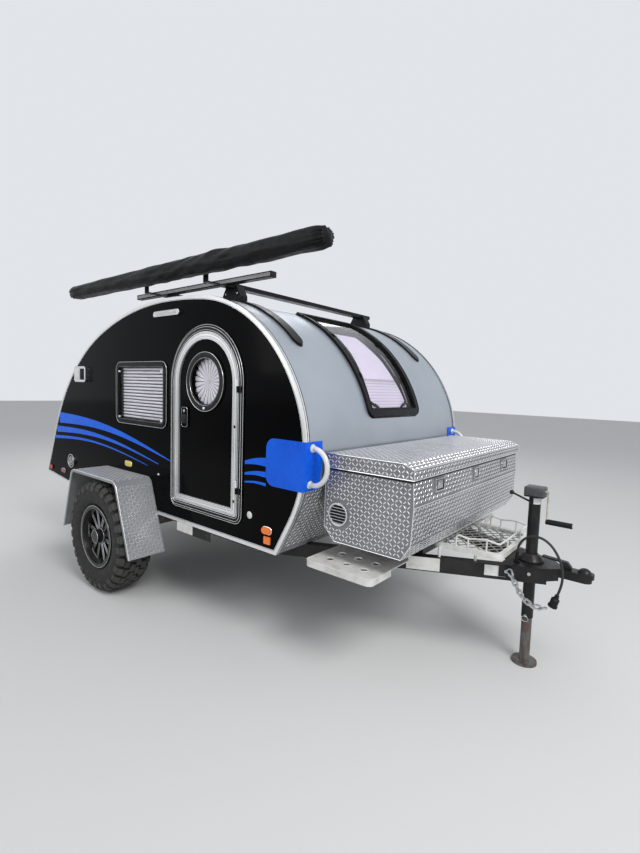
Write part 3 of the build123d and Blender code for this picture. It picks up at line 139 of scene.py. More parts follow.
floor_bm = bmesh.new()
bmesh.ops.create_grid(floor_bm, x_segments=1, y_segments=1, size=30)
floor_mesh = bpy.data.meshes.new("studio_floor")
floor_bm.to_mesh(floor_mesh)
floor_bm.free()
studio_floor = bpy.data.objects.new("studio_floor", floor_mesh)
scene.collection.objects.link(studio_floor)
floor_paint = bpy.data.materials.new("studio_floor")
floor_paint.use_nodes = True
floor_shader = floor_paint.node_tree.nodes["Principled BSDF"]
floor_shader.inputs["Base Color"].default_value = (0.74, 0.74, 0.73, 1)
floor_shader.inputs["Roughness"].default_value = 0.9
floor_mesh.materials.append(floor_paint)
print("studio ready")

# %% [markdown]
# A finish is a small tree of nodes round one Principled shader. Every real surface
# varies: a noise pattern on the object's own coordinates moves the colour and the
# roughness a little, and a finer one gives the bump. Plain numbers go straight on the
# shader's sockets. The helpers below each add one of these layers.

# %% Finish helpers


def new_finish(name, colour, roughness, **sockets):
    """A Principled material; other sockets go by their names with underscores."""
    finish = bpy.data.materials.new(name)
    finish.use_nodes = True
    shader = finish.node_tree.nodes["Principled BSDF"]
    shader.inputs["Base Color"].default_value = (*colour, 1)
    shader.inputs["Roughness"].default_value = roughness
    for socket, value in sockets.items():
        shader.inputs[socket.replace("_", " ")].default_value = value
    finish.diffuse_color = (*colour, 1)
    return finish


def part_coordinates(finish, scale=(1, 1, 1), turn=(0, 0, 0)):
    """The piece's own coordinates, turned and scaled."""
    tree = finish.node_tree
    source = tree.nodes.new("ShaderNodeTexCoord")
    mapping = tree.nodes.new("ShaderNodeMapping")
    mapping.inputs["Scale"].default_value = scale
    mapping.inputs["Rotation"].default_value = turn
    tree.links.new(source.outputs["Object"], mapping.inputs["Vector"])
    return mapping.outputs["Vector"]


def cloud(finish, size, detail=4, scale=(1, 1, 1)):
    """Noise whose patches are about size metres across."""
    tree = finish.node_tree
    node = tree.nodes.new("ShaderNodeTexNoise")
    node.inputs["Scale"].default_value = 1 / size
    node.inputs["Detail"].default_value = detail
    tree.links.new(part_coordinates(finish, scale), node.inputs["Vector"])
    return node.outputs["Fac"]


def blend_colours(finish, factor, stops):
    """Base colour from a ramp of (place, colour) stops."""
    tree = finish.node_tree
    ramp = tree.nodes.new("ShaderNodeValToRGB")
    elements = ramp.color_ramp.elements
    while len(elements) < len(stops):
        elements.new(0.5)
    for element, (place, colour) in zip(elements, stops):
        element.position = place
        element.color = (*colour, 1)
    tree.links.new(factor, ramp.inputs["Fac"])
    shader = tree.nodes["Principled BSDF"]
    tree.links.new(ramp.outputs["Color"], shader.inputs["Base Color"])
    return ramp.outputs["Color"]


def vary_roughness(finish, factor, low, high):
    """Roughness between two values."""
    tree = finish.node_tree
    spread = tree.nodes.new("ShaderNodeMapRange")
    spread.inputs["From Min"].default_value = 0.3
    spread.inputs["From Max"].default_value = 0.7
    spread.inputs["To Min"].default_value = low
    spread.inputs["To Max"].default_value = high
    tree.links.new(factor, spread.inputs["Value"])
    tree.links.new(spread.outputs["Result"], tree.nodes["Principled BSDF"].inputs["Roughness"])


def emboss(finish, height, depth, strength=1.0):
    """Bump of a depth in metres, on top of any bump that is there."""
    tree = finish.node_tree
    shader = tree.nodes["Principled BSDF"]
    bump = tree.nodes.new("ShaderNodeBump")
    bump.inputs["Distance"].default_value = depth
    bump.inputs["Strength"].default_value = strength
    tree.links.new(height, bump.inputs["Height"])
    if shader.inputs["Normal"].links:
        tree.links.new(shader.inputs["Normal"].links[0].from_socket, bump.inputs["Normal"])
    tree.links.new(bump.outputs["Normal"], shader.inputs["Normal"])


def worked_out(finish, operation, *values):
    """A Math node; each value is a number or an output."""
    node = finish.node_tree.nodes.new("ShaderNodeMath")
    node.operation = operation
    for entry, value in zip(node.inputs, values):
        if isinstance(value, (int, float)):
            entry.default_value = value
        else:
            finish.node_tree.links.new(value, entry)
    return node.outputs[0]


def varied_finish(name, colour, roughness, patch, low, high, at=(0.3, 0.7), rough=None, bump=None,
                  **sockets):
    """A finish whose colour goes from low to high in patches.

    patch is the patches' size, then detail and scale where they aren't the cloud's own.
    rough is a cloud's size and detail, then the least and the most roughness.
    bump is a cloud's size and detail, then the bump's depth and strength.
    """
    finish = new_finish(name, colour, roughness, **sockets)
    blend_colours(finish, cloud(finish, *patch), [(at[0], low), (at[1], high)])
    if rough:
        vary_roughness(finish, cloud(finish, *rough[:2]), *rough[2:])
    if bump:
        emboss(finish, cloud(finish, *bump[:2]), *bump[2:])
    return finish


print("helpers for finishes defined")

# %% [markdown]
# The metals. The roof skin is satin aluminium with a faint blue cast. The tread plate's
# sheet is coloured a darker grey, a painted shade, and its raised bars near white, a
# painted highlight, so that the bars stand out from it. The fenders' plate is the same
# tread plate coloured lighter, as painted sunlight. The trims are polished until they look
# white. Where a metal shows streaks, its noise is stretched along one axis.

# %% Metal finishes
silver_skin = varied_finish(
    "silver_skin", (0.46, 0.50, 0.55), 0.36, (0.5,), (0.42, 0.46, 0.51), (0.50, 0.54, 0.59),
    rough=(0.09, 6, 0.33, 0.44), bump=(0.004, 3, 0.0002, 0.15), Metallic=0.75,
)
# The sheet's grey is darkened: painted shade between the bars.
tread_plate = varied_finish(
    "tread_plate", (0.24, 0.24, 0.25), 0.42, (0.25, 5), (0.19, 0.19, 0.20), (0.29, 0.29, 0.30),
    rough=(0.05, 6, 0.22, 0.34), bump=(0.003, 3, 0.0003, 0.2), Metallic=0.3, Specular_IOR_Level=0.25,
)
# The bars' near-white colour is a painted highlight.
painted_highlight_metal = varied_finish(
    "painted_highlight_metal", (0.93, 0.93, 0.94), 0.18, (0.12, 4), (0.90, 0.90, 0.91), (0.97, 0.97, 0.98),
    rough=(0.03, 4, 0.14, 0.24), Metallic=0.9,
)
# The fenders' finish is the tread plate coloured lighter: painted sunlight.
sunlit_fender_plate = varied_finish(
    "sunlit_fender_plate", (0.34, 0.35, 0.36), 0.5, (0.2, 5), (0.27, 0.28, 0.29), (0.38, 0.39, 0.40),
    rough=(0.04, 6, 0.34, 0.48), Metallic=0.1, Specular_IOR_Level=0.2,
)
bright_trim = varied_finish(
    "bright_trim", (0.90, 0.90, 0.90), 0.28, (0.5,), (0.86, 0.86, 0.85), (0.92, 0.92, 0.92),
    rough=(0.15, 3, 0.24, 0.32), Metallic=0.7,
)
bright_fittings = varied_finish(
    "bright_fittings", (0.78, 0.78, 0.79), 0.15, (0.06,), (0.66, 0.66, 0.67), (0.82, 0.82, 0.83),
    rough=(0.02, 4, 0.1, 0.26), Metallic=1.0,
)
galvanised = varied_finish(
    "galvanised", (0.55, 0.56, 0.57), 0.4, (0.012, 2), (0.42, 0.43, 0.44), (0.68, 0.69, 0.70),
    at=(0.35, 0.65), rough=(0.008, 4, 0.3, 0.55), Metallic=0.9,
)
axle_steel = varied_finish(
    "axle_steel", (0.12, 0.12, 0.12), 0.55, (0.05, 6), (0.07, 0.07, 0.07), (0.20, 0.17, 0.14),
    at=(0.3, 0.72), Metallic=0.4,
)
step_alloy = varied_finish(
    "step_alloy", (0.74, 0.73, 0.70), 0.45, (0.05, 6), (0.62, 0.60, 0.56), (0.78, 0.77, 0.74),
    at=(0.32, 0.55), rough=(0.02, 5, 0.34, 0.52), Metallic=0.15,
)
worn_steel = new_finish("worn_steel", (0.22, 0.20, 0.18), 0.5, Metallic=0.6)
blend_colours(worn_steel, cloud(worn_steel, 0.035, 8, (1, 1, 0.3)),
              [(0.35, (0.20, 0.20, 0.20)), (0.55, (0.13, 0.11, 0.10)), (0.72, (0.20, 0.09, 0.04))])
vary_roughness(worn_steel, cloud(worn_steel, 0.01, 6), 0.4, 0.75)
print("metals:", [m.name for m in bpy.data.materials if m.name != "studio_floor"])

# %% [markdown]
# Paint, plastic and rubber. The blacks differ in how much they shine more than in their
# colour: the walls are almost pure black with a faint, sharp reflection, the chassis is
# satin, and the plastics are duller. Rubber is the roughest. The tyre's blocks are coloured
# lighter than its grooves, and the attribute "raised" on its mesh says which is which.

# %% Paints, plastics and rubbers
wall_gloss = varied_finish(
    "wall_gloss_black", (0.002, 0.002, 0.0025), 0.1, (0.7, 3),
    (0.0012, 0.0012, 0.0015), (0.003, 0.003, 0.0033),
    rough=(0.25, 5, 0.07, 0.13), bump=(0.012, 2, 0.0001, 0.1), Specular_IOR_Level=0.04,
)
chassis_black = varied_finish(
    "chassis_black", (0.012, 0.012, 0.013), 0.38, (0.1, 6), (0.008, 0.008, 0.009), (0.030, 0.027, 0.025),
    at=(0.35, 0.78), rough=(0.03, 6, 0.28, 0.5), bump=(0.004, 3, 0.0003, 0.25), Specular_IOR_Level=0.3,
)
black_plastic = varied_finish(
    "black_plastic", (0.01, 0.01, 0.01), 0.42, (0.08,), (0.006, 0.006, 0.006), (0.014, 0.014, 0.014),
    rough=(0.03, 4, 0.38, 0.55), bump=(0.0015, 2, 0.0002, 0.3), Specular_IOR_Level=0.22,
)
dark_frame = varied_finish(
    "dark_frame", (0.006, 0.006, 0.007), 0.24, (0.15,), (0.005, 0.005, 0.006), (0.013, 0.013, 0.015),
    rough=(0.05, 5, 0.24, 0.4), Specular_IOR_Level=0.14,
)
rim_black = varied_finish(
    "rim_black", (0.014, 0.014, 0.015), 0.3, (0.06, 5), (0.010, 0.010, 0.011), (0.032, 0.030, 0.028),
    at=(0.35, 0.75), rough=(0.03, 5, 0.24, 0.42), Specular_IOR_Level=0.4,
)
cable_rubber = varied_finish(
    "cable_rubber", (0.018, 0.018, 0.018), 0.5, (0.02, 4), (0.012, 0.012, 0.012), (0.030, 0.030, 0.029),
)
tyre_rubber = new_finish("tyre_rubber", (0.014, 0.014, 0.014), 0.72, Specular_IOR_Level=0.3)
raised = tyre_rubber.node_tree.nodes.new("ShaderNodeAttribute")
raised.attribute_name = "raised"
block_tone = worked_out(tyre_rubber, "MULTIPLY_ADD", raised.outputs["Fac"], 0.7,
                  worked_out(tyre_rubber, "MULTIPLY", cloud(tyre_rubber, 0.05, 8), 0.3))
blend_colours(tyre_rubber, block_tone, [(0.10, (0.004, 0.004, 0.004)), (0.40, (0.018, 0.018, 0.018)),
                                  (0.60, (0.030, 0.029, 0.028)), (0.95, (0.075, 0.072, 0.068))])
vary_roughness(tyre_rubber, cloud(tyre_rubber, 0.02, 6), 0.6, 0.85)
emboss(tyre_rubber, cloud(tyre_rubber, 0.002, 3), 0.0004, 0.3)

# %% Coloured paints, labels and boards
blue_plate = varied_finish(
    "blue_vinyl", (0.0, 0.12, 0.80), 0.3, (0.15, 4), (0.0, 0.100, 0.74), (0.0, 0.125, 0.84),
    rough=(0.04, 4, 0.2, 0.36), Specular_IOR_Level=0.25,
)
stripe_vinyl = varied_finish(
    "stripe_vinyl", (0.0, 0.14, 0.84), 0.28, (0.3,), (0.0, 0.115, 0.80), (0.0, 0.150, 0.90),
    rough=(0.05, 4, 0.2, 0.32), Specular_IOR_Level=0.25,
)
white_enamel = varied_finish(
    "white_enamel", (0.78, 0.78, 0.77), 0.25, (0.06, 5), (0.68, 0.68, 0.66), (0.80, 0.80, 0.79),
    at=(0.3, 0.65), rough=(0.03, 4, 0.2, 0.38), Coat_Weight=0.4,
)
cream_enamel = varied_finish(
    "cream_enamel", (0.62, 0.60, 0.52), 0.35, (0.03, 6), (0.50, 0.47, 0.40), (0.66, 0.64, 0.56),
    at=(0.3, 0.6), rough=(0.01, 5, 0.3, 0.5), Coat_Weight=0.2,
)
head_paint = varied_finish(
    "head_paint", (0.055, 0.060, 0.062), 0.42, (0.02, 6), (0.045, 0.050, 0.052), (0.085, 0.090, 0.090),
    at=(0.35, 0.7), rough=(0.01, 5, 0.36, 0.55),
)
blank_label = varied_finish(
    "blank_label", (0.82, 0.82, 0.80), 0.4, (0.02, 5), (0.74, 0.74, 0.72), (0.86, 0.86, 0.84),
)
floor_board = varied_finish(
    "floor_board", (0.03, 0.028, 0.026), 0.7, (0.3, 6, (0.3, 3, 3)),
    (0.022, 0.020, 0.018), (0.05, 0.045, 0.04),
)
galley_board = varied_finish(
    "galley_board", (0.42, 0.27, 0.15), 0.35, (0.05, 6, (6, 0.5, 6)),
    (0.34, 0.20, 0.10), (0.52, 0.36, 0.21), Coat_Weight=0.25,
)
print("paints, plastics and rubbers ready")

# %% [markdown]
# Panes, lenses and cloths. The window panes are clear acrylic with a faint tint and a low
# index, so that the pale cloth behind them shows. The lamps' lenses are coloured plastic
# with a coat. A pleated cloth is coloured dark in the depth of its folds, a painted shade,
# which an attribute on its mesh gives; the front blind's cloth is the same cloth coloured
# a little greyer than the others, also a painted shade.

# %% Panes, lenses and cloths
tinted_pane = varied_finish(
    "tinted_pane", (0.96, 0.95, 0.98), 0.03, (0.4,), (0.95, 0.94, 0.97), (0.98, 0.97, 1.0),
    rough=(0.08, 4, 0.02, 0.06), Transmission_Weight=1.0, IOR=1.15, Specular_IOR_Level=0.12,
)
amber_lens = varied_finish(
    "amber_lens", (1.0, 0.20, 0.01), 0.18, (0.006, 2), (0.95, 0.16, 0.01), (1.0, 0.26, 0.02),
    Coat_Weight=0.4,
)
red_lens = varied_finish(
    "red_lens", (0.5, 0.01, 0.01), 0.18, (0.006, 2), (0.42, 0.008, 0.008), (0.62, 0.015, 0.012),
    Transmission_Weight=0.3, Coat_Weight=0.6,
)
yellow_lens = varied_finish(
    "yellow_lens", (0.95, 0.75, 0.04), 0.22, (0.005, 2), (0.92, 0.68, 0.02), (1.0, 0.82, 0.10),
    Coat_Weight=0.4,
)
frosted_lens = varied_finish(
    "frosted_lens", (0.84, 0.84, 0.82), 0.4, (0.01, 2), (0.78, 0.78, 0.76), (0.88, 0.88, 0.86),
    Transmission_Weight=0.2,
)
awning_vinyl = varied_finish(
    "awning_vinyl", (0.005, 0.005, 0.006), 0.38, (0.09, 7), (0.004, 0.004, 0.005), (0.012, 0.012, 0.012),
    at=(0.35, 0.8), rough=(0.03, 5, 0.32, 0.52), bump=(0.0025, 3, 0.0005, 0.35), Specular_IOR_Level=0.15,
)
pleated_cloth = new_finish("pleated_cloth", (0.86, 0.84, 0.90), 0.8, Sheen_Weight=0.2)
# The front blind's cloth is the same cloth as the other shades, coloured greyer: painted shade.
shaded_front_cloth = new_finish("shaded_front_cloth", (0.74, 0.69, 0.82), 0.8, Specular_IOR_Level=0.2)
for cloth, lightest in ((pleated_cloth, (1.0, 0.98, 1.0)), (shaded_front_cloth, (0.75, 0.70, 0.80))):
    # Painted shade: the depths of the folds are coloured dark from an attribute on the mesh.
    fold_shade = cloth.node_tree.nodes.new("ShaderNodeAttribute")
    fold_shade.attribute_name = "fold_shade"
    blend_colours(cloth, fold_shade.outputs["Fac"],
                  [(0.0, lightest), (0.3, [0.92 * c for c in lightest]), (0.7, (0.05, 0.05, 0.06))])
    emboss(cloth, cloud(cloth, 0.0012, 2), 0.0002, 0.4)
print("panes, lenses, cloths and vinyls ready")

# %% [markdown]
# The luggage rack is one CAD part with pale painted tubes and a grey mesh floor. Its paint
# tells the two apart by place: the floor is what lies within a few millimetres of one
# height, inside the tubes at the front and the rear, and inside the two sides, which come
# closer to each other towards the front.

# %% Paint of the luggage rack
RACK_NARROWS = 0.038
RACK_FLOOR_HALF = 0.2575
RACK_FLOOR_Z = 0.600
RACK_FLOOR_DEPTH = 0.0032
RACK_TUBE_ROOM = 0.024

rack_paint = new_finish("rack_paint", (0.80, 0.79, 0.76), 0.32, Coat_Weight=0.3)
(rack_rear, _, _), (rack_front, _, _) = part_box("luggage_rack")
narrowing = RACK_NARROWS / (rack_front - rack_rear)
parts = rack_paint.node_tree.nodes.new("ShaderNodeSeparateXYZ")
rack_paint.node_tree.links.new(part_coordinates(rack_paint), parts.inputs[0])
rack_x, rack_y, rack_z = parts.outputs
aside = worked_out(rack_paint, "ABSOLUTE", rack_y)
outwards = worked_out(rack_paint, "MULTIPLY_ADD", rack_x, narrowing, aside)
on_floor = worked_out(rack_paint, "COMPARE", rack_z, RACK_FLOOR_Z, RACK_FLOOR_DEPTH)
for test in (("LESS_THAN", outwards, RACK_FLOOR_HALF + narrowing * rack_rear),
             ("GREATER_THAN", rack_x, rack_rear + RACK_TUBE_ROOM),
             ("LESS_THAN", rack_x, rack_front - RACK_TUBE_ROOM)):
    on_floor = worked_out(rack_paint, "MULTIPLY", on_floor, worked_out(rack_paint, *test))
shade = worked_out(rack_paint, "MULTIPLY_ADD", on_floor, 0.6,
                   worked_out(rack_paint, "MULTIPLY", cloud(rack_paint, 0.05, 5), 0.38))
blend_colours(rack_paint, shade, [(0.12, (0.66, 0.65, 0.61)), (0.24, (0.84, 0.83, 0.80)),
                                  (0.60, (0.20, 0.20, 0.20)), (0.86, (0.34, 0.34, 0.33))])
vary_roughness(rack_paint, cloud(rack_paint, 0.03, 4), 0.28, 0.5)
print("rack floor ends at", round(rack_front - RACK_TUBE_ROOM, 3), "m")

# %% [markdown]
# Each CAD part takes the finish of its material slot, so that changing one finish
# changes every part made of it. A few parts have a finish of their own.

# %% Give every CAD part its finish
FINISH_OF_SLOT = {
    "chassis_black": chassis_black,
    "wall_gloss_black": wall_gloss,
    "silver_skin": silver_skin,
    "tread_plate": tread_plate,
    "bright_trim": bright_trim,
    "floor_board": floor_board,
    "galley_board": galley_board,
    "tyre_rubber": tyre_rubber,
    "rim_black": rim_black,
    "black_plastic": black_plastic,
    "dark_frame": dark_frame,
    "tinted_pane": tinted_pane,
    "white_shade": pleated_cloth,
    "awning_vinyl": awning_vinyl,
    "blue_vinyl": blue_plate,
    "white_enamel": white_enamel,
    "amber_lens": amber_lens,
    "red_lens": red_lens,
    "galvanised": galvanised,
    "cable_rubber": cable_rubber,
    "axle_steel": axle_steel,
    "bright_fittings": bright_fittings,
}
FINISH_OF_NODE = {
    "luggage_rack": rack_paint,
    "step_plates": step_alloy,
    "jack_leg": worn_steel,
    "jack_crank": cream_enamel,
    # The fenders take the lighter tread plate, coloured as painted sunlight.
    "fenders": sunlit_fender_plate,
}
SLOT_OF_NODE = {row["node"]: row["material_slot"] for row in frame["record"]["subparts"]}
for node_name, node in nodes.items():
    finish = FINISH_OF_NODE.get(node_name, FINISH_OF_SLOT[SLOT_OF_NODE[node_name]])
    node.data.materials.clear()
    node.data.materials.append(finish)
print(len(SLOT_OF_NODE), "CAD parts have", len(FINISH_OF_SLOT) + len(FINISH_OF_NODE), "finishes")

# %% [markdown]
# The lighting cable is the one free cord. It leaves a gland on the coupler plate, stands
# up for a moment, bends over the frame and hangs down to its plug. A NURBS spline of
# order 3 through a few control points gives the smooth hang of rubber cable.

# %% Lighting cable
CABLE_RADIUS = 0.006
CABLE_ROUTE = (
    (1.732, -0.085, 0.566),
    (1.732, -0.085, 0.605),
    (1.740, -0.088, 0.645),
    (1.767, -0.092, 0.682),
    (1.808, -0.096, 0.702),
    (1.854, -0.100, 0.698),
    (1.894, -0.103, 0.672),
    (1.924, -0.104, 0.630),
    (1.944, -0.104, 0.582),
    (1.950, -0.104, 0.532),
    (1.945, -0.103, 0.482),
    (1.932, -0.101, 0.440),
)
cable_data = bpy.data.curves.new("tow_cable", "CURVE")
cable_data.dimensions = "3D"
cable_data.bevel_depth = CABLE_RADIUS
cable_data.bevel_resolution = 5
cable_data.use_fill_caps = True
spline = cable_data.splines.new("NURBS")
spline.points.add(len(CABLE_ROUTE) - 1)
for control, place in zip(spline.points, CABLE_ROUTE):
    control.co = (*place, 1)
spline.order_u = 3
spline.use_endpoint_u = True
spline.resolution_u = 12
tow_cable = bpy.data.objects.new("tow_cable", cable_data)
scene.collection.objects.link(tow_cable)
cable_data.materials.append(cable_rubber)
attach(tow_cable, "trailer")
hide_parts("cable")
print("cable with", len(CABLE_ROUTE), "control points")

# %% [markdown]
# New rigid pieces share a few bmesh helpers: one turns a finished bmesh into an object
# that rides on a body, and the others add a bevelled block, a round bar or a bolt head
# to a bmesh. Each starts from a bmesh.ops.create_ shape.

# %% Mesh helpers


def set_down(bm, name, body, finish, sharp=35):
    """Make the bmesh an object at the origin, smooth up to an angle, riding on a body."""
    mesh = bpy.data.meshes.new(name)
    bm.to_mesh(mesh)
    bm.free()
    mesh.materials.append(finish)
    mesh.shade_smooth()
    mesh.set_sharp_from_angle(angle=math.radians(sharp))
    piece = bpy.data.objects.new(name, mesh)
    scene.collection.objects.link(piece)
    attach(piece, body)
    print(name, len(mesh.polygons), "faces")
    return piece


def turn_to(direction, up=Vector((0, 0, 1))):
    """A rotation that takes +Z to direction, and +Y towards up where it can."""
    z = Vector(direction).normalized()
    y = Vector(up) - z * z.dot(Vector(up))
    if y.length < 1e-6:
        y = Vector((0, 1, 0)) - z * z.y
    y.normalize()
    return Matrix((y.cross(z), y, z)).transposed().to_4x4()


def add_block(bm, low, high, bevel=0.0, segments=2, place=None):
    """A block between two corners, its edges rounded, moved by place."""
    verts = bmesh.ops.create_cube(bm, size=1)["verts"]
    bmesh.ops.scale(bm, vec=Vector(high) - Vector(low), verts=verts)
    bmesh.ops.translate(bm, vec=(Vector(low) + Vector(high)) / 2, verts=verts)
    if bevel:
        edges = list({e for v in verts for e in v.link_edges})
        rounded = bmesh.ops.bevel(
            bm, geom=edges, offset=bevel, segments=segments, profile=0.5, material=-1, affect="EDGES"
        )
        verts = list({v for f in rounded["faces"] for v in f.verts} | {v for v in verts if v.is_valid})
    if place is not None:
        bmesh.ops.transform(bm, matrix=place, verts=verts)


def add_bar(bm, start, end, radius, end_radius=None, segments=16):
    """A round bar or cone from start to end, with closed ends."""
    run = Vector(end) - Vector(start)
    place = Matrix.Translation((Vector(start) + Vector(end)) / 2) @ turn_to(run)
    bmesh.ops.create_cone(
        bm, cap_ends=True, segments=segments, radius1=radius,
        radius2=radius if end_radius is None else end_radius, depth=run.length, matrix=place,
    )


def add_dome(bm, centre, direction, radius, height, segments=12):
    """A round head, such as a rivet's, that stands on a surface."""
    made = bmesh.ops.create_uvsphere(bm, u_segments=segments, v_segments=8, radius=1)
    below = [v for v in made["verts"] if v.co.z < -0.01]
    bmesh.ops.delete(bm, geom=below, context="VERTS")
    verts = [v for v in made["verts"] if v.is_valid]
    place = Matrix.Translation(Vector(centre)) @ turn_to(direction)
    place = place @ Matrix.Diagonal((radius, radius, height, 1))
    bmesh.ops.transform(bm, matrix=place, verts=verts)


def scatter(bm, shape, places):
    """Joins a copy of the small bmesh shape to bm at each place, a 4 by 4 matrix."""
    shape.verts.index_update()
    corners = np.array([v.co[:] for v in shape.verts])
    faces = np.array([[v.index for v in f.verts] + [-1] * (8 - len(f.verts)) for f in shape.faces])
    moved = [corners @ np.array(m)[:3, :3].T + np.array(m)[:3, 3] for m in places]
    rows = [[i + n * len(corners) for i in row if i >= 0] for n in range(len(places)) for row in faces]
    batch = bpy.data.meshes.new("batch")
    batch.from_pydata(np.concatenate(moved).tolist(), [], rows)
    bm.from_mesh(batch)
    bpy.data.meshes.remove(batch)
    shape.free()


def line_up(bm, places, closed=False):
    """New vertices at the places and edges from each to the next."""
    verts = [bm.verts.new(place) for place in places]
    edges = [bm.edges.new(pair) for pair in zip(verts, verts[1:] + (verts[:1] if closed else []))]
    return verts, edges


def verts_in(geom):
    """The vertices in what an operator gives back."""
    return [v for v in geom if isinstance(v, bmesh.types.BMVert)]


def add_plate(bm, middle, half, bevel=0.0, segments=2):
    """A block by its middle and its half sizes."""
    add_block(bm, Vector(middle) - Vector(half), Vector(middle) + Vector(half), bevel, segments)


print("mesh helpers defined")

# %% [markdown]
# Tread plate is aluminium sheet rolled with raised bars that lie one way and then the
# other. Bump alone looks flat at the corners of the toolbox, so the bars are real: one
# lens-shaped bar of a few faces is copied over the sheet. A ray is cast at each CAD
# part to find where the bar sits and which way the sheet faces there.

# %% Tread bars
BAR_PITCH = 0.0205
BAR_LENGTH = 0.0212
BAR_WIDTH = 0.0066
BAR_HEIGHT = 0.0015
EDGE_ROOM = 0.008


def sheet_tree(node_name):
    """A tree that finds where rays meet a CAD part."""
    bm = bmesh.new()
    bm.from_mesh(nodes[node_name].data)
    tree = BVHTree.FromBMesh(bm)
    bm.free()
    return tree


def tread_bar():
    """One raised bar: a lens with sloping sides and a narrow flat top."""
    bm = bmesh.new()
    made = bmesh.ops.create_circle(bm, cap_ends=True, segments=8, radius=0.5)
    face = made["verts"][0].link_faces[0]
    bmesh.ops.scale(bm, vec=(BAR_LENGTH, BAR_WIDTH, 1), verts=made["verts"])
    raised = bmesh.ops.extrude_discrete_faces(bm, faces=[face])["faces"][0]
    bmesh.ops.scale(bm, vec=(0.8, 0.5, 1), verts=raised.verts)
    bmesh.ops.translate(bm, vec=(0, 0, BAR_HEIGHT), verts=raised.verts)
    return bm


def bar_places(tree, origin, across, up, width, height, cast, margin=EDGE_ROOM, keep=None):
    """Places for bars over a rectangle, cast on to the sheet; neighbours lean opposite ways."""
    across, up, cast = Vector(across).normalized(), Vector(up).normalized(), Vector(cast).normalized()
    rows = int((height - 2 * margin) / BAR_PITCH) + 1
    columns = int((width - 2 * margin) / BAR_PITCH) + 1
    start = Vector(origin) + across * (width - (columns - 1) * BAR_PITCH) / 2
    start += up * (height - (rows - 1) * BAR_PITCH) / 2
    places = []
    for row in range(rows):
        for column in range(columns):
            lean = 1 if (row + column) % 2 else -1
            point = start + across * column * BAR_PITCH + up * row * BAR_PITCH
            hit, normal, _, _ = tree.ray_cast(point - cast * 0.3, cast, 0.6)
            if hit is None or normal.dot(cast) > -0.3 or (keep and not keep(hit)):
                continue
            slope = (across - normal * across.dot(normal)).normalized()
            along = (slope + normal.cross(slope) * lean).normalized()
            ends = [tree.ray_cast(hit + along * share * BAR_LENGTH - cast * 0.02, cast, 0.04)
                    for share in (0.52, -0.52)]
            if any(end is None or way.dot(normal) < 0.96 for end, way, _, _ in ends):
                continue
            if any(abs((end - hit).dot(normal)) > 0.002 for end, _, _, _ in ends):
                continue
            place = Matrix((along, normal.cross(along), normal)).transposed().to_4x4()
            place.translation = hit - normal * 0.0002
            places.append(place)
    return places


def lay_bars(name, body, node_name, faces):
    """One piece of the bars on some faces of a CAD part; a face is bar_places' rectangle."""
    tree = sheet_tree(node_name)
    bars = bmesh.new()
    scatter(bars, tread_bar(), [place for face in faces for place in bar_places(tree, *face)])
    set_down(bars, name, body, painted_highlight_metal, sharp=25)


print("tread bars are", BAR_LENGTH * 1000, "mm long")

# %% Tread bars on the toolbox
ACROSS, ALONG, UP = (0, 1, 0), (1, 0, 0), (0, 0, 1)
BOX_BOTTOM = 0.639
BOX_FACE_INSET = 0.008  # how far the folded front stands behind the box's lip
LATCHES = ((-0.46, 0.095), (0.0, 0.060), (0.46, 0.095))  # place and width
LATCH_FOOT = 0.912
LATCH_ROOM = 0.013
VENT_ROOM = 0.070
box_low, box_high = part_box("toolbox_body")
box_rear, box_right, box_front = box_low[0], box_low[1], box_high[0]
width, length = box_high[1] - box_right, box_front - box_rear - BOX_FACE_INSET
VENT = Vector((box_rear + 0.088, 0, 0.780))


def clear_of_vent(hit):
    """Keep bars off the round vents on the box's sides."""
    return (Vector((hit.x, 0, hit.z)) - VENT).length > VENT_ROOM


def clear_of_latches(hit):
    """Keep bars off the latches on the box's front."""
    return not (hit.z > LATCH_FOOT and any(abs(hit.y - y) < wide / 2 + LATCH_ROOM for y, wide in LATCHES))


faces = [
    ((box_front, box_right, 0.886), ACROSS, UP, width, 0.117, (-1, 0, 0), EDGE_ROOM, clear_of_latches),
    ((box_front, box_right, 0.715), ACROSS, UP, width, 0.165, (-1, 0, 0)),
    ((box_rear, -width / 2, BOX_BOTTOM), ALONG, UP, length, 0.364, (0, 1, 0), EDGE_ROOM, clear_of_vent),
    ((box_rear, width / 2, BOX_BOTTOM), ALONG, UP, length, 0.364, (0, -1, 0), EDGE_ROOM, clear_of_vent),
    ((box_front - 0.055, box_right, 0.642), ACROSS, (0.53, 0, 0.85), width, 0.085, (-0.85, 0, 0.53)),
    ((box_rear + 0.07, box_right, BOX_BOTTOM), ACROSS, (-0.7, 0, 0.7), width, 0.09, (0.7, 0, 0.7)),
]
lay_bars("toolbox_tread", "trailer", "toolbox_body", faces)

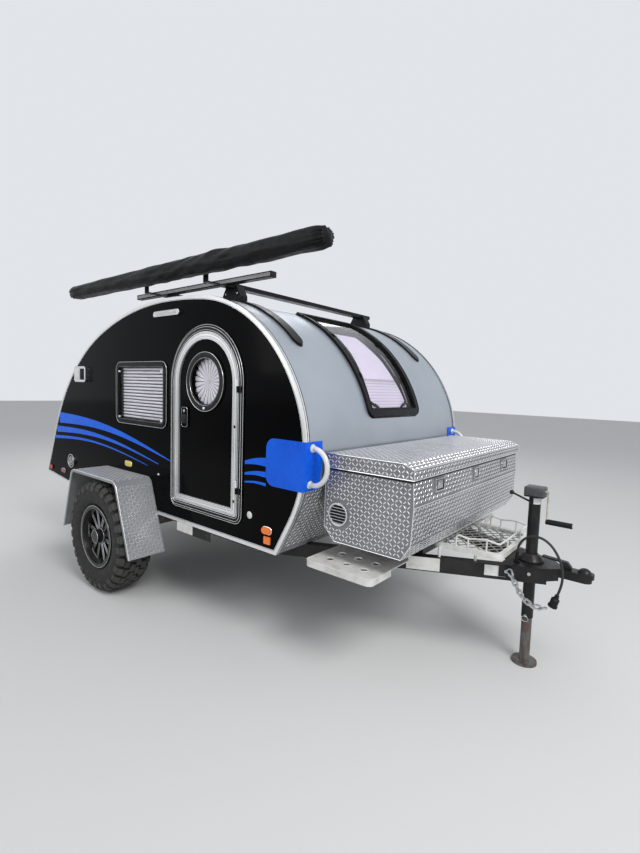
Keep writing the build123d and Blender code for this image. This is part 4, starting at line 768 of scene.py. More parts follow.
# %% Tread bars on the toolbox's lid
LID_SLOPE = Vector((0.058, 0, -0.024))
HINGE_ROOM = 0.02
lid_low, lid_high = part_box("toolbox_lid")
lid_length, lid_width, lid_height = (high - low for low, high in zip(lid_low, lid_high))
lid_start, lid_right, lid_foot = lid_low[0] + HINGE_ROOM, lid_low[1], lid_low[2]
lid_length -= HINGE_ROOM
slope_top = Vector((lid_high[0] - LID_SLOPE.x, lid_right, lid_high[2]))
slope_in = Vector((LID_SLOPE.z, 0, -LID_SLOPE.x))
faces = [
    ((lid_start, lid_right, lid_high[2]), ACROSS, ALONG, lid_width, slope_top.x - lid_start, (0, 0, -1)),
    (slope_top, ACROSS, LID_SLOPE, lid_width, LID_SLOPE.length, slope_in),
    ((lid_high[0], lid_right, lid_foot), ACROSS, UP, lid_width, lid_height + LID_SLOPE.z, (-1, 0, 0), 0.010),
    ((lid_start, -lid_width / 2, lid_foot), ALONG, UP, lid_length, lid_height, (0, 1, 0)),
    ((lid_start, lid_width / 2, lid_foot), ALONG, UP, lid_length, lid_height, (0, -1, 0)),
]
lay_bars("lid_tread", "lid", "toolbox_lid", faces)

# %% Tread bars on the front panel and the fenders
panel_low, panel_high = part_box("front_panel")
_, panel_width, panel_height = (high - low for low, high in zip(panel_low, panel_high))
panel_corner = (panel_high[0], panel_low[1], panel_low[2])
lay_bars("front_tread", "trailer", "front_panel",
         [(panel_corner, ACROSS, UP, panel_width, panel_height, (-1, 0, 0.15))])

FENDER_TOP = 0.772
FENDER_INNER = 0.856
FENDER_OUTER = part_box("fenders")[1][1]
WHEEL_X = -0.648
fender_width = FENDER_OUTER - FENDER_INNER
faces = []
for inner in (-FENDER_OUTER, FENDER_INNER):
    faces += [
        ((WHEEL_X - 0.34, inner, FENDER_TOP), ACROSS, ALONG, fender_width, 0.59, (0, 0, -1)),
        ((WHEEL_X + 0.44, inner, 0.30), ACROSS, (-0.345, 0, 0.94), fender_width, 0.47, (-0.94, 0, -0.345)),
        ((WHEEL_X - 0.51, inner, 0.32), ACROSS, (0.32, 0, 0.95), fender_width, 0.45, (0.95, 0, -0.32)),
    ]
lay_bars("fender_tread", "trailer", "fenders", faces)

# %% [markdown]
# The tyre is a ring of rubber with a deep open tread. The carcass is a profile spun
# round the axle, and the blocks are copies of a few bevelled blocks: four rows across the
# tread, one on each shoulder, and long and short lugs by turns down each sidewall.

# %% Tyres
TYRE_RADIUS = 0.365
TREAD_DEPTH = 0.012
TRACK_HALF = 1.000
BLOCKS_ROUND = 30
TREAD_ROWS = (  # place round the tyre in steps, then y, width, length and skew
    (0.0, 0.018, 0.034, 0.058, 0.25),
    (0.5, -0.018, 0.034, 0.058, -0.25),
    (0.45, 0.057, 0.034, 0.054, 0.12),
    (0.95, -0.057, 0.034, 0.054, -0.12),
)
CARCASS = (  # radius and half width, from the bead to the middle of the tread
    (0.1915, 0.084),
    (0.213, 0.087),
    (0.222, 0.098),
    (0.240, 0.108),
    (0.288, 0.112),
    (0.322, 0.109),
    (0.340, 0.103),
    (TYRE_RADIUS - TREAD_DEPTH, 0.088),
    (TYRE_RADIUS - TREAD_DEPTH, 0.0),
)


def block(long, wide, tall, bevel):
    """A tread block, its top at z 0, with one bevelled round."""
    bm = bmesh.new()
    add_block(bm, (-long / 2, -wide / 2, -tall), (long / 2, wide / 2, 0), bevel, 1)
    return bm


def tyre_mesh(side):
    """A tyre at its wheel's place, spun round the axle."""
    bm = bmesh.new()
    raised = bm.verts.layers.float.new("raised")
    centre = Vector((WHEEL_X, side * TRACK_HALF, TYRE_RADIUS))
    row = list(CARCASS) + [(r, -y) for r, y in reversed(CARCASS[:-1])]
    verts, edges = line_up(bm, [centre + Vector((0, y, r)) for r, y in row])
    bmesh.ops.spin(bm, geom=verts + edges, cent=centre, axis=(0, 1, 0), angle=2 * math.pi, steps=90,
                   use_merge=True)
    bmesh.ops.recalc_face_normals(bm, faces=bm.faces)
    carcass = len(bm.verts)
    for v in bm.verts:
        in_tread = (v.co - centre).cross(Vector((0, 1, 0))).length > 0.336
        v[raised] = 0.0 if in_tread else 0.55

    def round_axle(offset, place):
        step = 2 * math.pi / BLOCKS_ROUND
        return [
            Matrix.Translation(centre) @ Matrix.Rotation((n + offset) * step, 4, "Y") @ place
            for n in range(BLOCKS_ROUND)
        ]

    for offset, y, wide, long, skew in TREAD_ROWS:
        place = Matrix.Translation((0, y, TYRE_RADIUS - 0.0018)) @ Matrix.Rotation(skew, 4, "Z")
        scatter(bm, block(long, wide, 0.016, 0.0025), round_axle(offset, place))
    for flank in (-1, 1):
        shoulder = Matrix.Translation((0, flank * 0.0955, 0.3535)) @ Matrix.Rotation(-flank * 0.62, 4, "X")
        scatter(bm, block(0.05, 0.036, 0.02, 0.003), round_axle(0.25 * flank, shoulder))
        lug = Matrix.Translation((0, flank * 0.1135, 0.321)) @ Matrix.Rotation(-flank * 1.45, 4, "X")
        scatter(bm, block(0.042, 0.034, 0.01, 0.002), round_axle(0.25 * flank, lug)[::2])
        short = Matrix.Translation((0, flank * 0.1125, 0.327)) @ Matrix.Rotation(-flank * 1.45, 4, "X")
        scatter(bm, block(0.040, 0.022, 0.01, 0.002), round_axle(0.25 * flank, short)[1::2])
    bm.verts.ensure_lookup_table()
    for v in bm.verts[carcass:]:
        v[raised] = 1.0
    return bm


for name, side in SIDES:
    tyre = set_down(tyre_mesh(side), "tread_tyre_" + name, "wheel_" + name, tyre_rubber,
                    sharp=30)
    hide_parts("tyre_" + name)

# %% [markdown]
# Behind the round window of each door hangs a sunburst shade: a strip of cloth pleated
# round a centre, so its folds run out like rays and its edge is scalloped. One radius is
# spun into a disc, and the folds are a wave of the angle that grows with the radius.

# %% Sunburst shades
DOOR_X = 0.184
PORTHOLE_Z = 1.408
SHADE_RADIUS = 0.1305
SHADE_DEPTH = 0.8245
RAYS = 22


def sunburst(side):
    """A pleated disc of cloth, a little deeper at its edge than at its centre."""
    bm = bmesh.new()
    fold_shade = bm.verts.layers.float.new("fold_shade")
    centre = Vector((DOOR_X, side * SHADE_DEPTH, PORTHOLE_Z))
    verts, edges = line_up(bm, [centre + Vector((0, 0, SHADE_RADIUS * n / 8)) for n in range(9)])
    bmesh.ops.spin(bm, geom=verts + edges, cent=centre, axis=(0, 1, 0), angle=2 * math.pi, steps=RAYS * 8,
                   use_merge=True)
    bmesh.ops.remove_doubles(bm, verts=bm.verts, dist=0.00001)
    for v in bm.verts:
        flat = v.co - centre
        share = flat.length / SHADE_RADIUS
        fold = abs(math.sin(math.atan2(flat.z, flat.x) * RAYS / 2))
        v.co.y -= side * 0.0065 * (1 - fold ** 0.7) * share
        v.co += flat * 0.03 * (fold - 0.5) * share ** 4
        # Painted shade in the depth of each fold.
        v[fold_shade] = 0.75 * (1 - fold) ** 2
    bmesh.ops.recalc_face_normals(bm, faces=bm.faces)
    bmesh.ops.solidify(bm, geom=bm.faces, thickness=0.0006)
    add_dome(bm, centre + Vector((0, side * 0.001, 0)), (0, side, 0), 0.007, 0.003)
    return bm


for name, side in SIDES:
    shade = set_down(sunburst(side), "sunburst_shade_" + name, "door_" + name, pleated_cloth)

# %% [markdown]
# The side windows have pleated blinds. A pleat is a flat zigzag when new, and sags into
# soft waves in use, so a grid is waved along its height and gets a little cloth
# thickness. The front window's blind is cloth that follows the roof's curve, with
# the lowest part left in folds.

# %% Pleated side blinds
BLIND_LOW = Vector((-0.790, 0.8180, 1.142))
BLIND_HIGH = Vector((-0.242, 0.8180, 1.492))
BLIND_PITCH = 0.0215


def pleated_blind(side):
    """A waved grid between the blind's two corners."""
    bm = bmesh.new()
    fold_shade = bm.verts.layers.float.new("fold_shade")
    size = BLIND_HIGH - BLIND_LOW
    pleats = round(size.z / BLIND_PITCH)
    made = bmesh.ops.create_grid(bm, x_segments=24, y_segments=pleats * 8, size=0.5)
    for v in made["verts"]:
        along, rise = v.co.x + 0.5, v.co.y + 0.5
        wave = abs(math.sin(rise * pleats * math.pi))
        sway = noise.noise(Vector((along * 2.5, rise * 9, side))) * 0.0012
        place = BLIND_LOW + Vector((along * size.x, 0, rise * size.z + sway))
        v.co = Vector((place.x, side * (place.y - 0.005 + 0.010 * wave), place.z))
        # Painted shade in the depth of each pleat.
        v[fold_shade] = 1 - wave
    bmesh.ops.recalc_face_normals(bm, faces=bm.faces)
    bmesh.ops.solidify(bm, geom=bm.faces, thickness=0.0006)
    return bm


for name, side in SIDES:
    blind = set_down(pleated_blind(side), "side_blind_" + name, "trailer", pleated_cloth)
    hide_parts("window_blinds")

# %% Front blind
BLIND_CENTRE = Vector((0.06, 0, 1.0))
BLIND_FOOT, BLIND_HEAD = 18.8, 57.5  # degrees above the level, seen from that centre
BLIND_HALF_FOOT, BLIND_HALF_HEAD = 0.210, 0.116
FOLDS = 30
FOLDED_SHARE = 0.32
blind_tree = sheet_tree("window_blinds")


def on_front_blind(across, degrees):
    """Where the front window's CAD blind is, and the way out from it."""
    out = Vector((math.cos(math.radians(degrees)), 0, math.sin(math.radians(degrees))))
    hit, normal, _, _ = blind_tree.ray_cast(BLIND_CENTRE + out * 1.4 + Vector((0, across, 0)), -out)
    return hit, normal


def front_blind():
    """A curved sheet that narrows upwards, laid on the top of the CAD blind."""
    bm = bmesh.new()
    fold_shade = bm.verts.layers.float.new("fold_shade")
    made = bmesh.ops.create_grid(bm, x_segments=26, y_segments=150, size=0.5)
    for v in made["verts"]:
        across, rise = v.co.x, v.co.y + 0.5
        half = BLIND_HALF_FOOT + (BLIND_HALF_HEAD - BLIND_HALF_FOOT) * rise
        hit, normal = on_front_blind(across * 2 * half, BLIND_FOOT + (BLIND_HEAD - BLIND_FOOT) * rise)
        fold = abs(math.sin(rise * FOLDS * math.pi)) * max(0.0, 1 - rise / FOLDED_SHARE)
        puff = noise.noise(Vector((across * 3, rise * 5, 3.1))) * 0.002
        v.co = hit - normal * (0.004 - 0.003 * fold - puff)
        # Painted shade in the depth of the lower folds.
        v[fold_shade] = 0.45 * (1 - fold) ** 3 if rise < FOLDED_SHARE else 0.0
    bmesh.ops.recalc_face_normals(bm, faces=bm.faces)
    bmesh.ops.solidify(bm, geom=bm.faces, thickness=0.0006)
    return bm


blind = set_down(front_blind(), "front_blind", "trailer", shaded_front_cloth)
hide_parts("window_blinds")

# %% [markdown]
# Behind the front blind a dark sheet fills the rest of the opening: a painted shade that
# stands for the dark cabin behind the pane. It lies on the CAD blind too, and where that
# ends, near the top, each column of the grid goes on straight.

# %% Painted shade behind the front blind
SHADE_SHEET_FOOT, SHADE_SHEET_SPAN = 17.6, 58.0
SHADE_SHEET_WIDTH = 0.508

# A dark sheet behind the front blind: painted shade for the dark cabin seen through the pane.
shade_sheet = bmesh.new()
made = bmesh.ops.create_grid(shade_sheet, x_segments=8, y_segments=60, size=0.5)
columns = {}
for v in sorted(made["verts"], key=lambda v: v.co.y):
    hit, normal = on_front_blind(v.co.x * SHADE_SHEET_WIDTH, SHADE_SHEET_FOOT + SHADE_SHEET_SPAN * (v.co.y + 0.5))
    column = columns.setdefault(round(v.co.x, 4), [])
    column.append(hit - normal * 0.0085 if hit else column[-1] * 2 - column[-2])
    v.co = column[-1]
bmesh.ops.recalc_face_normals(shade_sheet, faces=shade_sheet.faces)
bmesh.ops.solidify(shade_sheet, geom=shade_sheet.faces, thickness=0.0008)
shade_sheet = set_down(shade_sheet, "front_window_painted_shade", "trailer", black_plastic)

# %% [markdown]
# The awning is rolled up in a long vinyl bag. The bag is a tube with a flattened back
# where it is screwed to its rail, and slack cloth gives it shallow slanting folds. Both
# ends are drawn in. The folds are moves of the tube's own fine mesh, so the silhouette
# shows them too.

# %% Awning bag
AWNING_LOW, AWNING_HIGH = (Vector(c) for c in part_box("awning_bag"))


def bag_mesh():
    """A long tube along X, shaped to the CAD bag's box, then folded and gathered."""
    bm = bmesh.new()
    size = AWNING_HIGH - AWNING_LOW
    middle = (AWNING_HIGH + AWNING_LOW) / 2
    made = bmesh.ops.create_cone(bm, cap_ends=True, segments=56, radius1=0.5, radius2=0.5, depth=1)
    bmesh.ops.rotate(bm, matrix=Matrix.Rotation(math.pi / 2, 3, "Y"), verts=made["verts"])
    caps = [f for f in bm.faces if len(f.verts) > 4]
    for _ in range(5):
        bmesh.ops.inset_region(bm, faces=caps, thickness=0.08, use_even_offset=False)
    long_edges = [e for e in bm.edges if abs(e.verts[0].co.x - e.verts[1].co.x) > 0.5]
    bmesh.ops.subdivide_edges(bm, edges=long_edges, cuts=230)
    for v in bm.verts:
        along = v.co.x + 0.5
        angle = math.atan2(v.co.z, v.co.y)
        radius = math.hypot(v.co.y, v.co.z) * 2
        round_y = math.copysign(abs(math.cos(angle)) ** 0.72, math.cos(angle)) * radius
        round_z = math.copysign(abs(math.sin(angle)) ** 0.78, math.sin(angle)) * radius
        end = min(along, 1 - along) * size.x
        drawn = 1 - 0.22 * math.exp(-(end / 0.035) ** 2) if radius > 0.99 else 0.78
        slack = math.exp(-((along - 0.62) / 0.18) ** 2) + 0.35
        slant = along * size.x * 9 + angle * 0.9
        fold = noise.noise(Vector((slant, angle * 0.8, 1.7))) * 0.007 * slack
        fold += noise.noise(Vector((along * size.x * 3.2, angle * 1.3, 8.2))) * 0.006
        gather = math.sin(angle * 17 + 3 * noise.noise(Vector((angle, end * 20, 4)))) * 0.0035
        fold += gather * math.exp(-end / 0.05)
        if radius < 0.99:
            fold = gather * radius * 1.3
        scale = drawn * (1 - 0.012 / size.z) + fold / (size.z / 2)
        bulge = (1 - radius) * 0.012 * (1 if v.co.x > 0 else -1)
        v.co = Vector((
            AWNING_LOW.x + 0.014 + along * (size.x - 0.028) + bulge,
            middle.y + round_y * scale * size.y / 2,
            middle.z + round_z * scale * size.z / 2,
        ))
        v.co.z = max(v.co.z, AWNING_LOW.z + 0.001)
    bmesh.ops.recalc_face_normals(bm, faces=bm.faces)
    return bm


bag = set_down(bag_mesh(), "bagged_awning", "trailer", awning_vinyl, sharp=60)
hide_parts("awning_bag")

# %% [markdown]
# The walls carry plain vinyl stripes in bright blue. Each stripe is a strip of a grid,
# bent along a gentle curve and narrowed to a point, with the thickness of vinyl. Rays
# cast at the wall find where its curved rear edge ends.

# %% Vinyl stripes
WALL_Y = 0.850
STRIPES = (  # height at the rear, height at the door, widths there, and where it ends
    (1.075, 0.905, 0.090, 0.006, -0.165),
    (0.975, 0.868, 0.052, 0.005, -0.300),
    (0.905, 0.842, 0.026, 0.004, -0.430),
)
FRONT_STRIPES = ((0.985, 1.005, 0.020, 0.046), (0.925, 0.940, 0.013, 0.030), (0.880, 0.888, 0.008, 0.016))


def wall_rear_x(tree, side, z):
    """Where the wall's rear edge is at a height, by halving."""
    low, high = -2.1, -1.2
    for _ in range(12):
        x = (low + high) / 2
        hit = tree.ray_cast(Vector((x, side * 0.9, z)), Vector((0, -side, 0)), 0.06)[0]
        low, high = (low, x) if hit else (x, high)
    return high


def add_stripe(bm, side, start, end):
    """A strip from (x, z, width) to (x, z, width) on a wall, bowed upwards a little."""
    made = bmesh.ops.create_grid(bm, x_segments=40, y_segments=1, size=0.5)
    for v in made["verts"]:
        share = v.co.x + 0.5
        x, z, width = (a + (b - a) * share for a, b in zip(start, end))
        bow = 0.035 * math.sin(share * math.pi) * (end[0] - start[0])
        v.co = Vector((x, side * WALL_Y, z + bow + v.co.y * width))
    faces = list({f for v in made["verts"] for f in v.link_faces})
    raised = bmesh.ops.extrude_face_region(bm, geom=faces)["geom"]
    bmesh.ops.translate(bm, vec=(0, side * 0.0005, 0), verts=verts_in(raised))


for name, side in SIDES:
    tree = sheet_tree("wall_" + name)
    bm = bmesh.new()
    for rear_z, door_z, rear_width, tip_width, end_x in STRIPES:
        start_x = wall_rear_x(tree, side, rear_z) + 0.03
        add_stripe(bm, side, (start_x, rear_z, rear_width), (end_x, door_z, tip_width))
    for low_z, high_z, low_width, high_width in FRONT_STRIPES:
        add_stripe(bm, side, (0.530, low_z, low_width), (0.692, high_z, high_width))
    bmesh.ops.recalc_face_normals(bm, faces=bm.faces)
    set_down(bm, "stripes_" + name, "trailer", stripe_vinyl)

# %% [markdown]
# Thin beads run along the door's rim, its dark flange, the window frames and the body's
# edge. The bright ones on the flange and the window frames are painted highlights, where
# these edges catch the light. A bead is a round wire along a path, and a path is a short
# list of places: an arch, a rounded rectangle, a circle, or the body's own outline, which
# is drawn from the same arcs as in the CAD.

# %% Wires along paths
WINDOW_X, WINDOW_Z = -0.516, 1.317


def wire(points, radius, closed=False, name="wire"):
    """A mesh wire along points: a curve with a bevel, made a mesh."""
    data = bpy.data.curves.new(name, "CURVE")
    data.dimensions = "3D"
    data.bevel_depth = radius
    data.bevel_resolution = 2
    data.use_fill_caps = not closed
    line = data.splines.new("POLY")
    line.points.add(len(points) - 1)
    for control, place in zip(line.points, points):
        control.co = (*place, 1)
    line.use_cyclic_u = closed
    holder = bpy.data.objects.new(name, data)
    mesh = bpy.data.meshes.new_from_object(holder)
    bpy.data.objects.remove(holder)
    bpy.data.curves.remove(data)
    return mesh


def add_wire(bm, points, radius, closed=False):
    """Join a wire to a bmesh."""
    mesh = wire(points, radius, closed)
    bm.from_mesh(mesh)
    bpy.data.meshes.remove(mesh)


def arch_path(side, y, grow):
    """Points round the door, grow outside its leaf."""
    half, sill, spring, corner = 0.293 + grow, 0.675 - grow, 1.400, 0.018 + max(grow, 0)
    points = []
    for n in range(7):
        a = math.radians(270 + 15 * n)
        points.append((half - corner + corner * math.cos(a), sill + corner + corner * math.sin(a)))
    for n in range(37):
        a = math.radians(5 * n)
        points.append((half * math.cos(a), spring + half * math.sin(a)))
    for n in range(7):
        a = math.radians(180 + 15 * n)
        points.append((-half + corner + corner * math.cos(a), sill + corner + corner * math.sin(a)))
    return [Vector((DOOR_X + x, side * y, z)) for x, z in points]


def window_path(side, y, grow):
    """Points round the side window, grow outside its opening."""
    half_x, half_z, corner = 0.315 + grow, 0.213 + grow, 0.055 + grow
    points = []
    for n in range(4):
        cx = (half_x - corner) * (1 if n in (0, 3) else -1)
        cz = (half_z - corner) * (1 if n < 2 else -1)
        for step in range(9):
            a = math.radians(90 * n + 11.25 * step)
            points.append((cx + corner * math.cos(a), cz + corner * math.sin(a)))
    return [Vector((WINDOW_X + x, side * y, WINDOW_Z + z)) for x, z in points]


print("paths defined")

# %% More paths
ROOF_ARCS = {1: ((3.400, 6.0), (0.915, 59.0), (0.725, 53.5)), -1: ((2.375, 21.5), (1.500, 43.5))}
CROWN = Vector((-0.19596, 1.914))
FRONT_FOOT = Vector((0.7756, 0.540))
UNDERSIDE = (Vector((-1.640, 0.540)), Vector((-2.06499, 0.582)))


def mitre(corner, one, other, grow):
    """A corner between two straights with outward normals one and other, moved out by grow."""
    return corner + (one + other) * grow / (1 + one.dot(other))


def body_outline(grow):
    """Points (x, z) round the body's side, grow outside it: crown, nose, underside, tail."""
    halves = {}
    for direction, arcs in ROOF_ARCS.items():
        points, angle, last = [], 0.0, arcs[0][0]
        centre = CROWN - Vector((0, last))
        for radius, turn in arcs:
            centre = centre + Vector((direction * math.sin(angle), math.cos(angle))) * (last - radius)
            steps = math.ceil(turn / 2.5)
            for n in range(steps + 1):
                a = angle + math.radians(turn) * n / steps
                out = Vector((direction * math.sin(a), math.cos(a)))
                points.append(centre + out * (radius + grow))
            angle, last = angle + math.radians(turn), radius
        halves[direction] = (points, out)
    nose, nose_out = halves[1]
    tail, tail_out = halves[-1]
    down = Vector((0, -1))
    kink, corner = UNDERSIDE
    run = (corner - kink).normalized()
    rise_out = Vector((-run.y, run.x))
    low = [mitre(FRONT_FOOT, nose_out, down, grow), mitre(kink, down, rise_out, grow),
           mitre(corner, rise_out, tail_out, grow)]
    return nose + low + tail[:0:-1]


def outline_path(side, y, grow):
    """The body's outline as places in space."""
    return [Vector((p.x, side * y, p.y)) for p in body_outline(grow)]


def rounded_path(corners, radius, closed=True, steps=6):
    """A line through corners, each corner rounded."""
    corners = [Vector(c) for c in corners]
    count = len(corners)
    points = []
    for n, here in enumerate(corners):
        if not closed and n in (0, count - 1):
            points.append(here)
            continue
        back = (corners[n - 1] - here).normalized()
        on = (corners[(n + 1) % count] - here).normalized()
        half = back.angle(on) / 2
        centre = here + (back + on).normalized() * radius / math.sin(half)
        first = here + back * radius / math.tan(half) - centre
        last = here + on * radius / math.tan(half) - centre
        turns = [first.slerp(last, step / steps).normalized() for step in range(steps + 1)]
        points += [centre + turn * radius for turn in turns]
    return points


def circle_path(centre, axis, radius, steps=40):
    """Points round a circle."""
    turn = turn_to(axis).to_3x3()
    turns = [2 * math.pi * n / steps for n in range(steps)]
    return [Vector(centre) + turn @ Vector((radius * math.cos(a), radius * math.sin(a), 0)) for a in turns]


def add_ring(bm, centre, radius, thickness, steps=40, axis=(0, 1, 0)):
    """A hoop of round wire; its axis runs across the trailer unless another is given."""
    add_wire(bm, circle_path(centre, axis, radius, steps), thickness, closed=True)


SQUARE = ((-1, -1), (1, -1), (1, 1), (-1, 1))  # the signs of a rectangle's corners, in order


def slot_path(x, z, length, height, side, y):
    """Points round a slot that lies along the wall."""
    corners = [(x + sx * length / 2, side * y, z + sz * height / 2) for sx, sz in SQUARE]
    return rounded_path(corners, height / 2 - 0.0005)


def spun_ring(bm, centre, rows, steps=72):
    """A closed profile of (radius, depth towards +Y) spun round the Y axis through centre."""
    centre = Vector(centre)
    verts, edges = line_up(bm, [centre + Vector((0, depth, radius)) for radius, depth in rows], closed=True)
    bmesh.ops.spin(bm, geom=verts + edges, cent=centre, axis=(0, 1, 0), angle=2 * math.pi, steps=steps,
                   use_merge=True)
    bmesh.ops.recalc_face_normals(bm, faces=bm.faces)


print("the body's outline has", len(body_outline(0)), "points")

# %% [markdown]
# The edge trim is an angle of bright metal with a dark rubber line in it. The line is a
# thin wire that sits in the trim's top face. Between the trim and the roof skin the wall's
# edge is covered by a narrow strip of the roof's metal, made from one row of edges that is
# extruded across and given a thickness.

# %% Lines along the body's edge
EDGE_LINES = (  # y, grow and the wire's radius
    (0.8395, 0.0028, 0.0014),
    (0.8262, 0.0016, 0.0030),
    (0.8530, -0.0165, 0.0009),
)
STRIP_INNER, STRIP_WIDTH = 0.8132, 0.0132

lines = bmesh.new()
strips = bmesh.new()
for _, side in SIDES:
    for y, grow, radius in EDGE_LINES:
        add_wire(lines, outline_path(side, y, grow), radius, closed=True)
    _, edges = line_up(strips, outline_path(side, STRIP_INNER, 0.0014), closed=True)
    across = bmesh.ops.extrude_edge_only(strips, edges=edges)["geom"]
    bmesh.ops.translate(strips, vec=(0, side * STRIP_WIDTH, 0), verts=verts_in(across))
set_down(lines, "edge_lines", "trailer", black_plastic)
bmesh.ops.recalc_face_normals(strips, faces=strips.faces)
bmesh.ops.solidify(strips, geom=strips.faces, thickness=0.0013)
set_down(strips, "edge_strips", "trailer", silver_skin)

# %% Bright beads on the door flanges and the side windows: painted highlights
FLANGE_HIGHLIGHTS = ((0.0085, 0.8620), (0.0255, 0.8618), (0.0385, 0.8580))  # grow, y
WINDOW_HIGHLIGHTS = ((-0.0015, 0.8578, 0.0012), (-0.0325, 0.8622, 0.0009))  # grow, y, radius

beads = bmesh.new()
for side in (-1, 1):
    for grow, y in FLANGE_HIGHLIGHTS:
        add_wire(beads, arch_path(side, y, grow), 0.0013, closed=True)
    for grow, y, radius in WINDOW_HIGHLIGHTS:
        add_wire(beads, window_path(side, y, grow), radius, closed=True)
    # The small bright plates at the window's corners are dark catches, coloured bright as their painted
    # highlights.
    for dx in (-0.262, 0.262):
        for dz in (0.148, -0.168):
            add_plate(beads, (WINDOW_X + dx, side * 0.8595, WINDOW_Z + dz), (0.011, 0.004, 0.006), 0.002)
set_down(beads, "frame_highlights", "trailer", bright_trim)

# %% [markdown]
# Each door has a wide bright rim with fine dark grooves rolled into it, a black bezel
# round its porthole with a knob at the foot and two bright rings on its edges, which are
# painted highlights, and a paddle latch with a lock. The bezel is a low arch of a profile,
# spun round the porthole's middle.

# %% Door details
GROOVES = (-0.0055, -0.0110, -0.0275, -0.0375)
BEZEL_ROWS = (  # radius, then depth out of the wall
    (0.1335, 0.0085), (0.1335, 0.0108), (0.1390, 0.0126), (0.1520, 0.0136), (0.1650, 0.0126),
    (0.1705, 0.0108), (0.1705, 0.0085),
)
PADDLE_HALF = (0.0295, 0.0585)

for name, side in SIDES:
    body = "door_" + name
    hub = Vector((DOOR_X, side * WALL_Y, PORTHOLE_Z))
    latch = Vector((-0.007, side * 0.860, 1.194))
    lock = latch + Vector((0, 0, 0.038))
    outwards = Vector((0, side, 0))

    grooves = bmesh.new()
    for grow in GROOVES:
        add_wire(grooves, arch_path(side, 0.8618, grow), 0.0009, closed=True)
    for z in (0.760, 1.170):
        add_plate(grooves, (0.455, side * 0.8625, z), (0.006, 0.002, 0.008), 0.0012)
    set_down(grooves, "door_rim_grooves_" + name, body, dark_frame)

    bezel = bmesh.new()
    spun_ring(bezel, hub, [(radius, side * depth) for radius, depth in BEZEL_ROWS], 96)
    add_plate(bezel, latch - Vector((0, 0, 0.009)), (0.019, 0.004, 0.027), 0.0035, 3)
    set_down(bezel, "porthole_bezel_" + name, body, black_plastic, sharp=40)

    brights = bmesh.new()
    # The two bright rings on the bezel's edges are painted highlights.
    add_ring(brights, hub + outwards * 0.0108, 0.1695, 0.0016, 96)
    add_ring(brights, hub + outwards * 0.0112, 0.1365, 0.0011, 96)
    add_dome(brights, hub + Vector((0, side * 0.0130, -0.1520)), outwards, 0.009, 0.006)
    add_bar(brights, lock, lock + outwards * 0.0030, 0.0095)
    add_plate(brights, lock + outwards * 0.0030, (0.0012, 0.0008, 0.006))
    paddle = [latch + Vector((sx * PADDLE_HALF[0], 0, sz * PADDLE_HALF[1])) for sx, sz in SQUARE]
    add_wire(brights, rounded_path(paddle, 0.013), 0.0008, closed=True)
    set_down(brights, "door_brights_" + name, body, bright_fittings)

# %% [markdown]
# The front window's frame follows the roof, so its rubber lips can't be drawn flat. The
# rounded rectangle is drawn on the chord's plane and each of its points is dropped on to
# the CAD frame with a ray. A dark reveal runs inwards from the inner lip.

# %% Front window's lips and reveal
CHORD_LOW = Vector((0.94259, 0, 1.228))
CHORD_HIGH = Vector((0.33099, 0, 1.86050))
CHORD = CHORD_HIGH - CHORD_LOW
FRONT_HALF_WIDTH = 0.300
FRONT_CORNER = 0.050
REVEAL_DEPTH = 0.030
frame_tree = sheet_tree("window_frames")


def on_front_frame(across, up):
    """Where the frame's face is, across and up from the middle of the window."""
    along = CHORD.normalized()
    out = Vector((along.z, 0, -along.x))
    flat = (CHORD_LOW + CHORD_HIGH) / 2 + Vector((0, across, 0)) + along * up
    hit, normal, _, _ = frame_tree.ray_cast(flat + out * 0.4, -out)
    if hit is None:
        hit, normal, _, _ = frame_tree.find_nearest(flat + out * 0.015)
    return hit, normal


def front_lip(grow):
    """A closed path on the frame, grow outside the window's outline."""
    half, tall, corner = FRONT_HALF_WIDTH + grow, CHORD.length / 2 + grow, FRONT_CORNER + grow
    flat = rounded_path([(sx * half, sy * tall, 0) for sx, sy in SQUARE], corner)
    points = []
    for n, here in enumerate(flat):
        there = flat[(n + 1) % len(flat)]
        steps = max(1, round((there - here).length / 0.03))
        points += [here.lerp(there, step / steps) for step in range(steps)]
    return [on_front_frame(p.x, p.y)[0] for p in points]


def out_of_roof(place):
    """The way out of the roof at a place near the front window."""
    return (Vector((place.x, 0, place.z)) - BLIND_CENTRE).normalized()


lips = bmesh.new()
add_wire(lips, front_lip(-0.0030), 0.0030, closed=True)
add_wire(lips, front_lip(-0.0375), 0.0026, closed=True)
set_down(lips, "front_window_lips", "trailer", black_plastic)

rim = front_lip(-0.0385)
middle = sum(rim, Vector()) / len(rim)
places = []
for p in rim:
    out = out_of_roof(p)
    inwards = p - middle
    inwards -= out * inwards.dot(out)
    places.append(p - inwards.normalized() * 0.0045 - out * 0.004)
reveal = bmesh.new()
_, edges = line_up(reveal, places, closed=True)
for v in verts_in(bmesh.ops.extrude_edge_only(reveal, edges=edges)["geom"]):
    v.co -= out_of_roof(v.co) * REVEAL_DEPTH
bmesh.ops.recalc_face_normals(reveal, faces=reveal.faces)
bmesh.ops.solidify(reveal, geom=reveal.faces, thickness=0.0010)
set_down(reveal, "front_window_reveal", "trailer", black_plastic)

# %% Rails and catches of the front window
RAILS = ((0.222, 20.5, 29.0), (0.206, 33.0, 45.0), (-0.222, 24.0, 30.0))  # across, then the arc in degrees
rails = bmesh.new()
for across, first, last in RAILS:
    spots = [on_front_blind(across, first + (last - first) * n / 8) for n in range(9)]
    add_wire(rails, [hit + normal * 0.0020 for hit, normal in spots], 0.0024)
set_down(rails, "front_blind_rails", "trailer", bright_fittings)

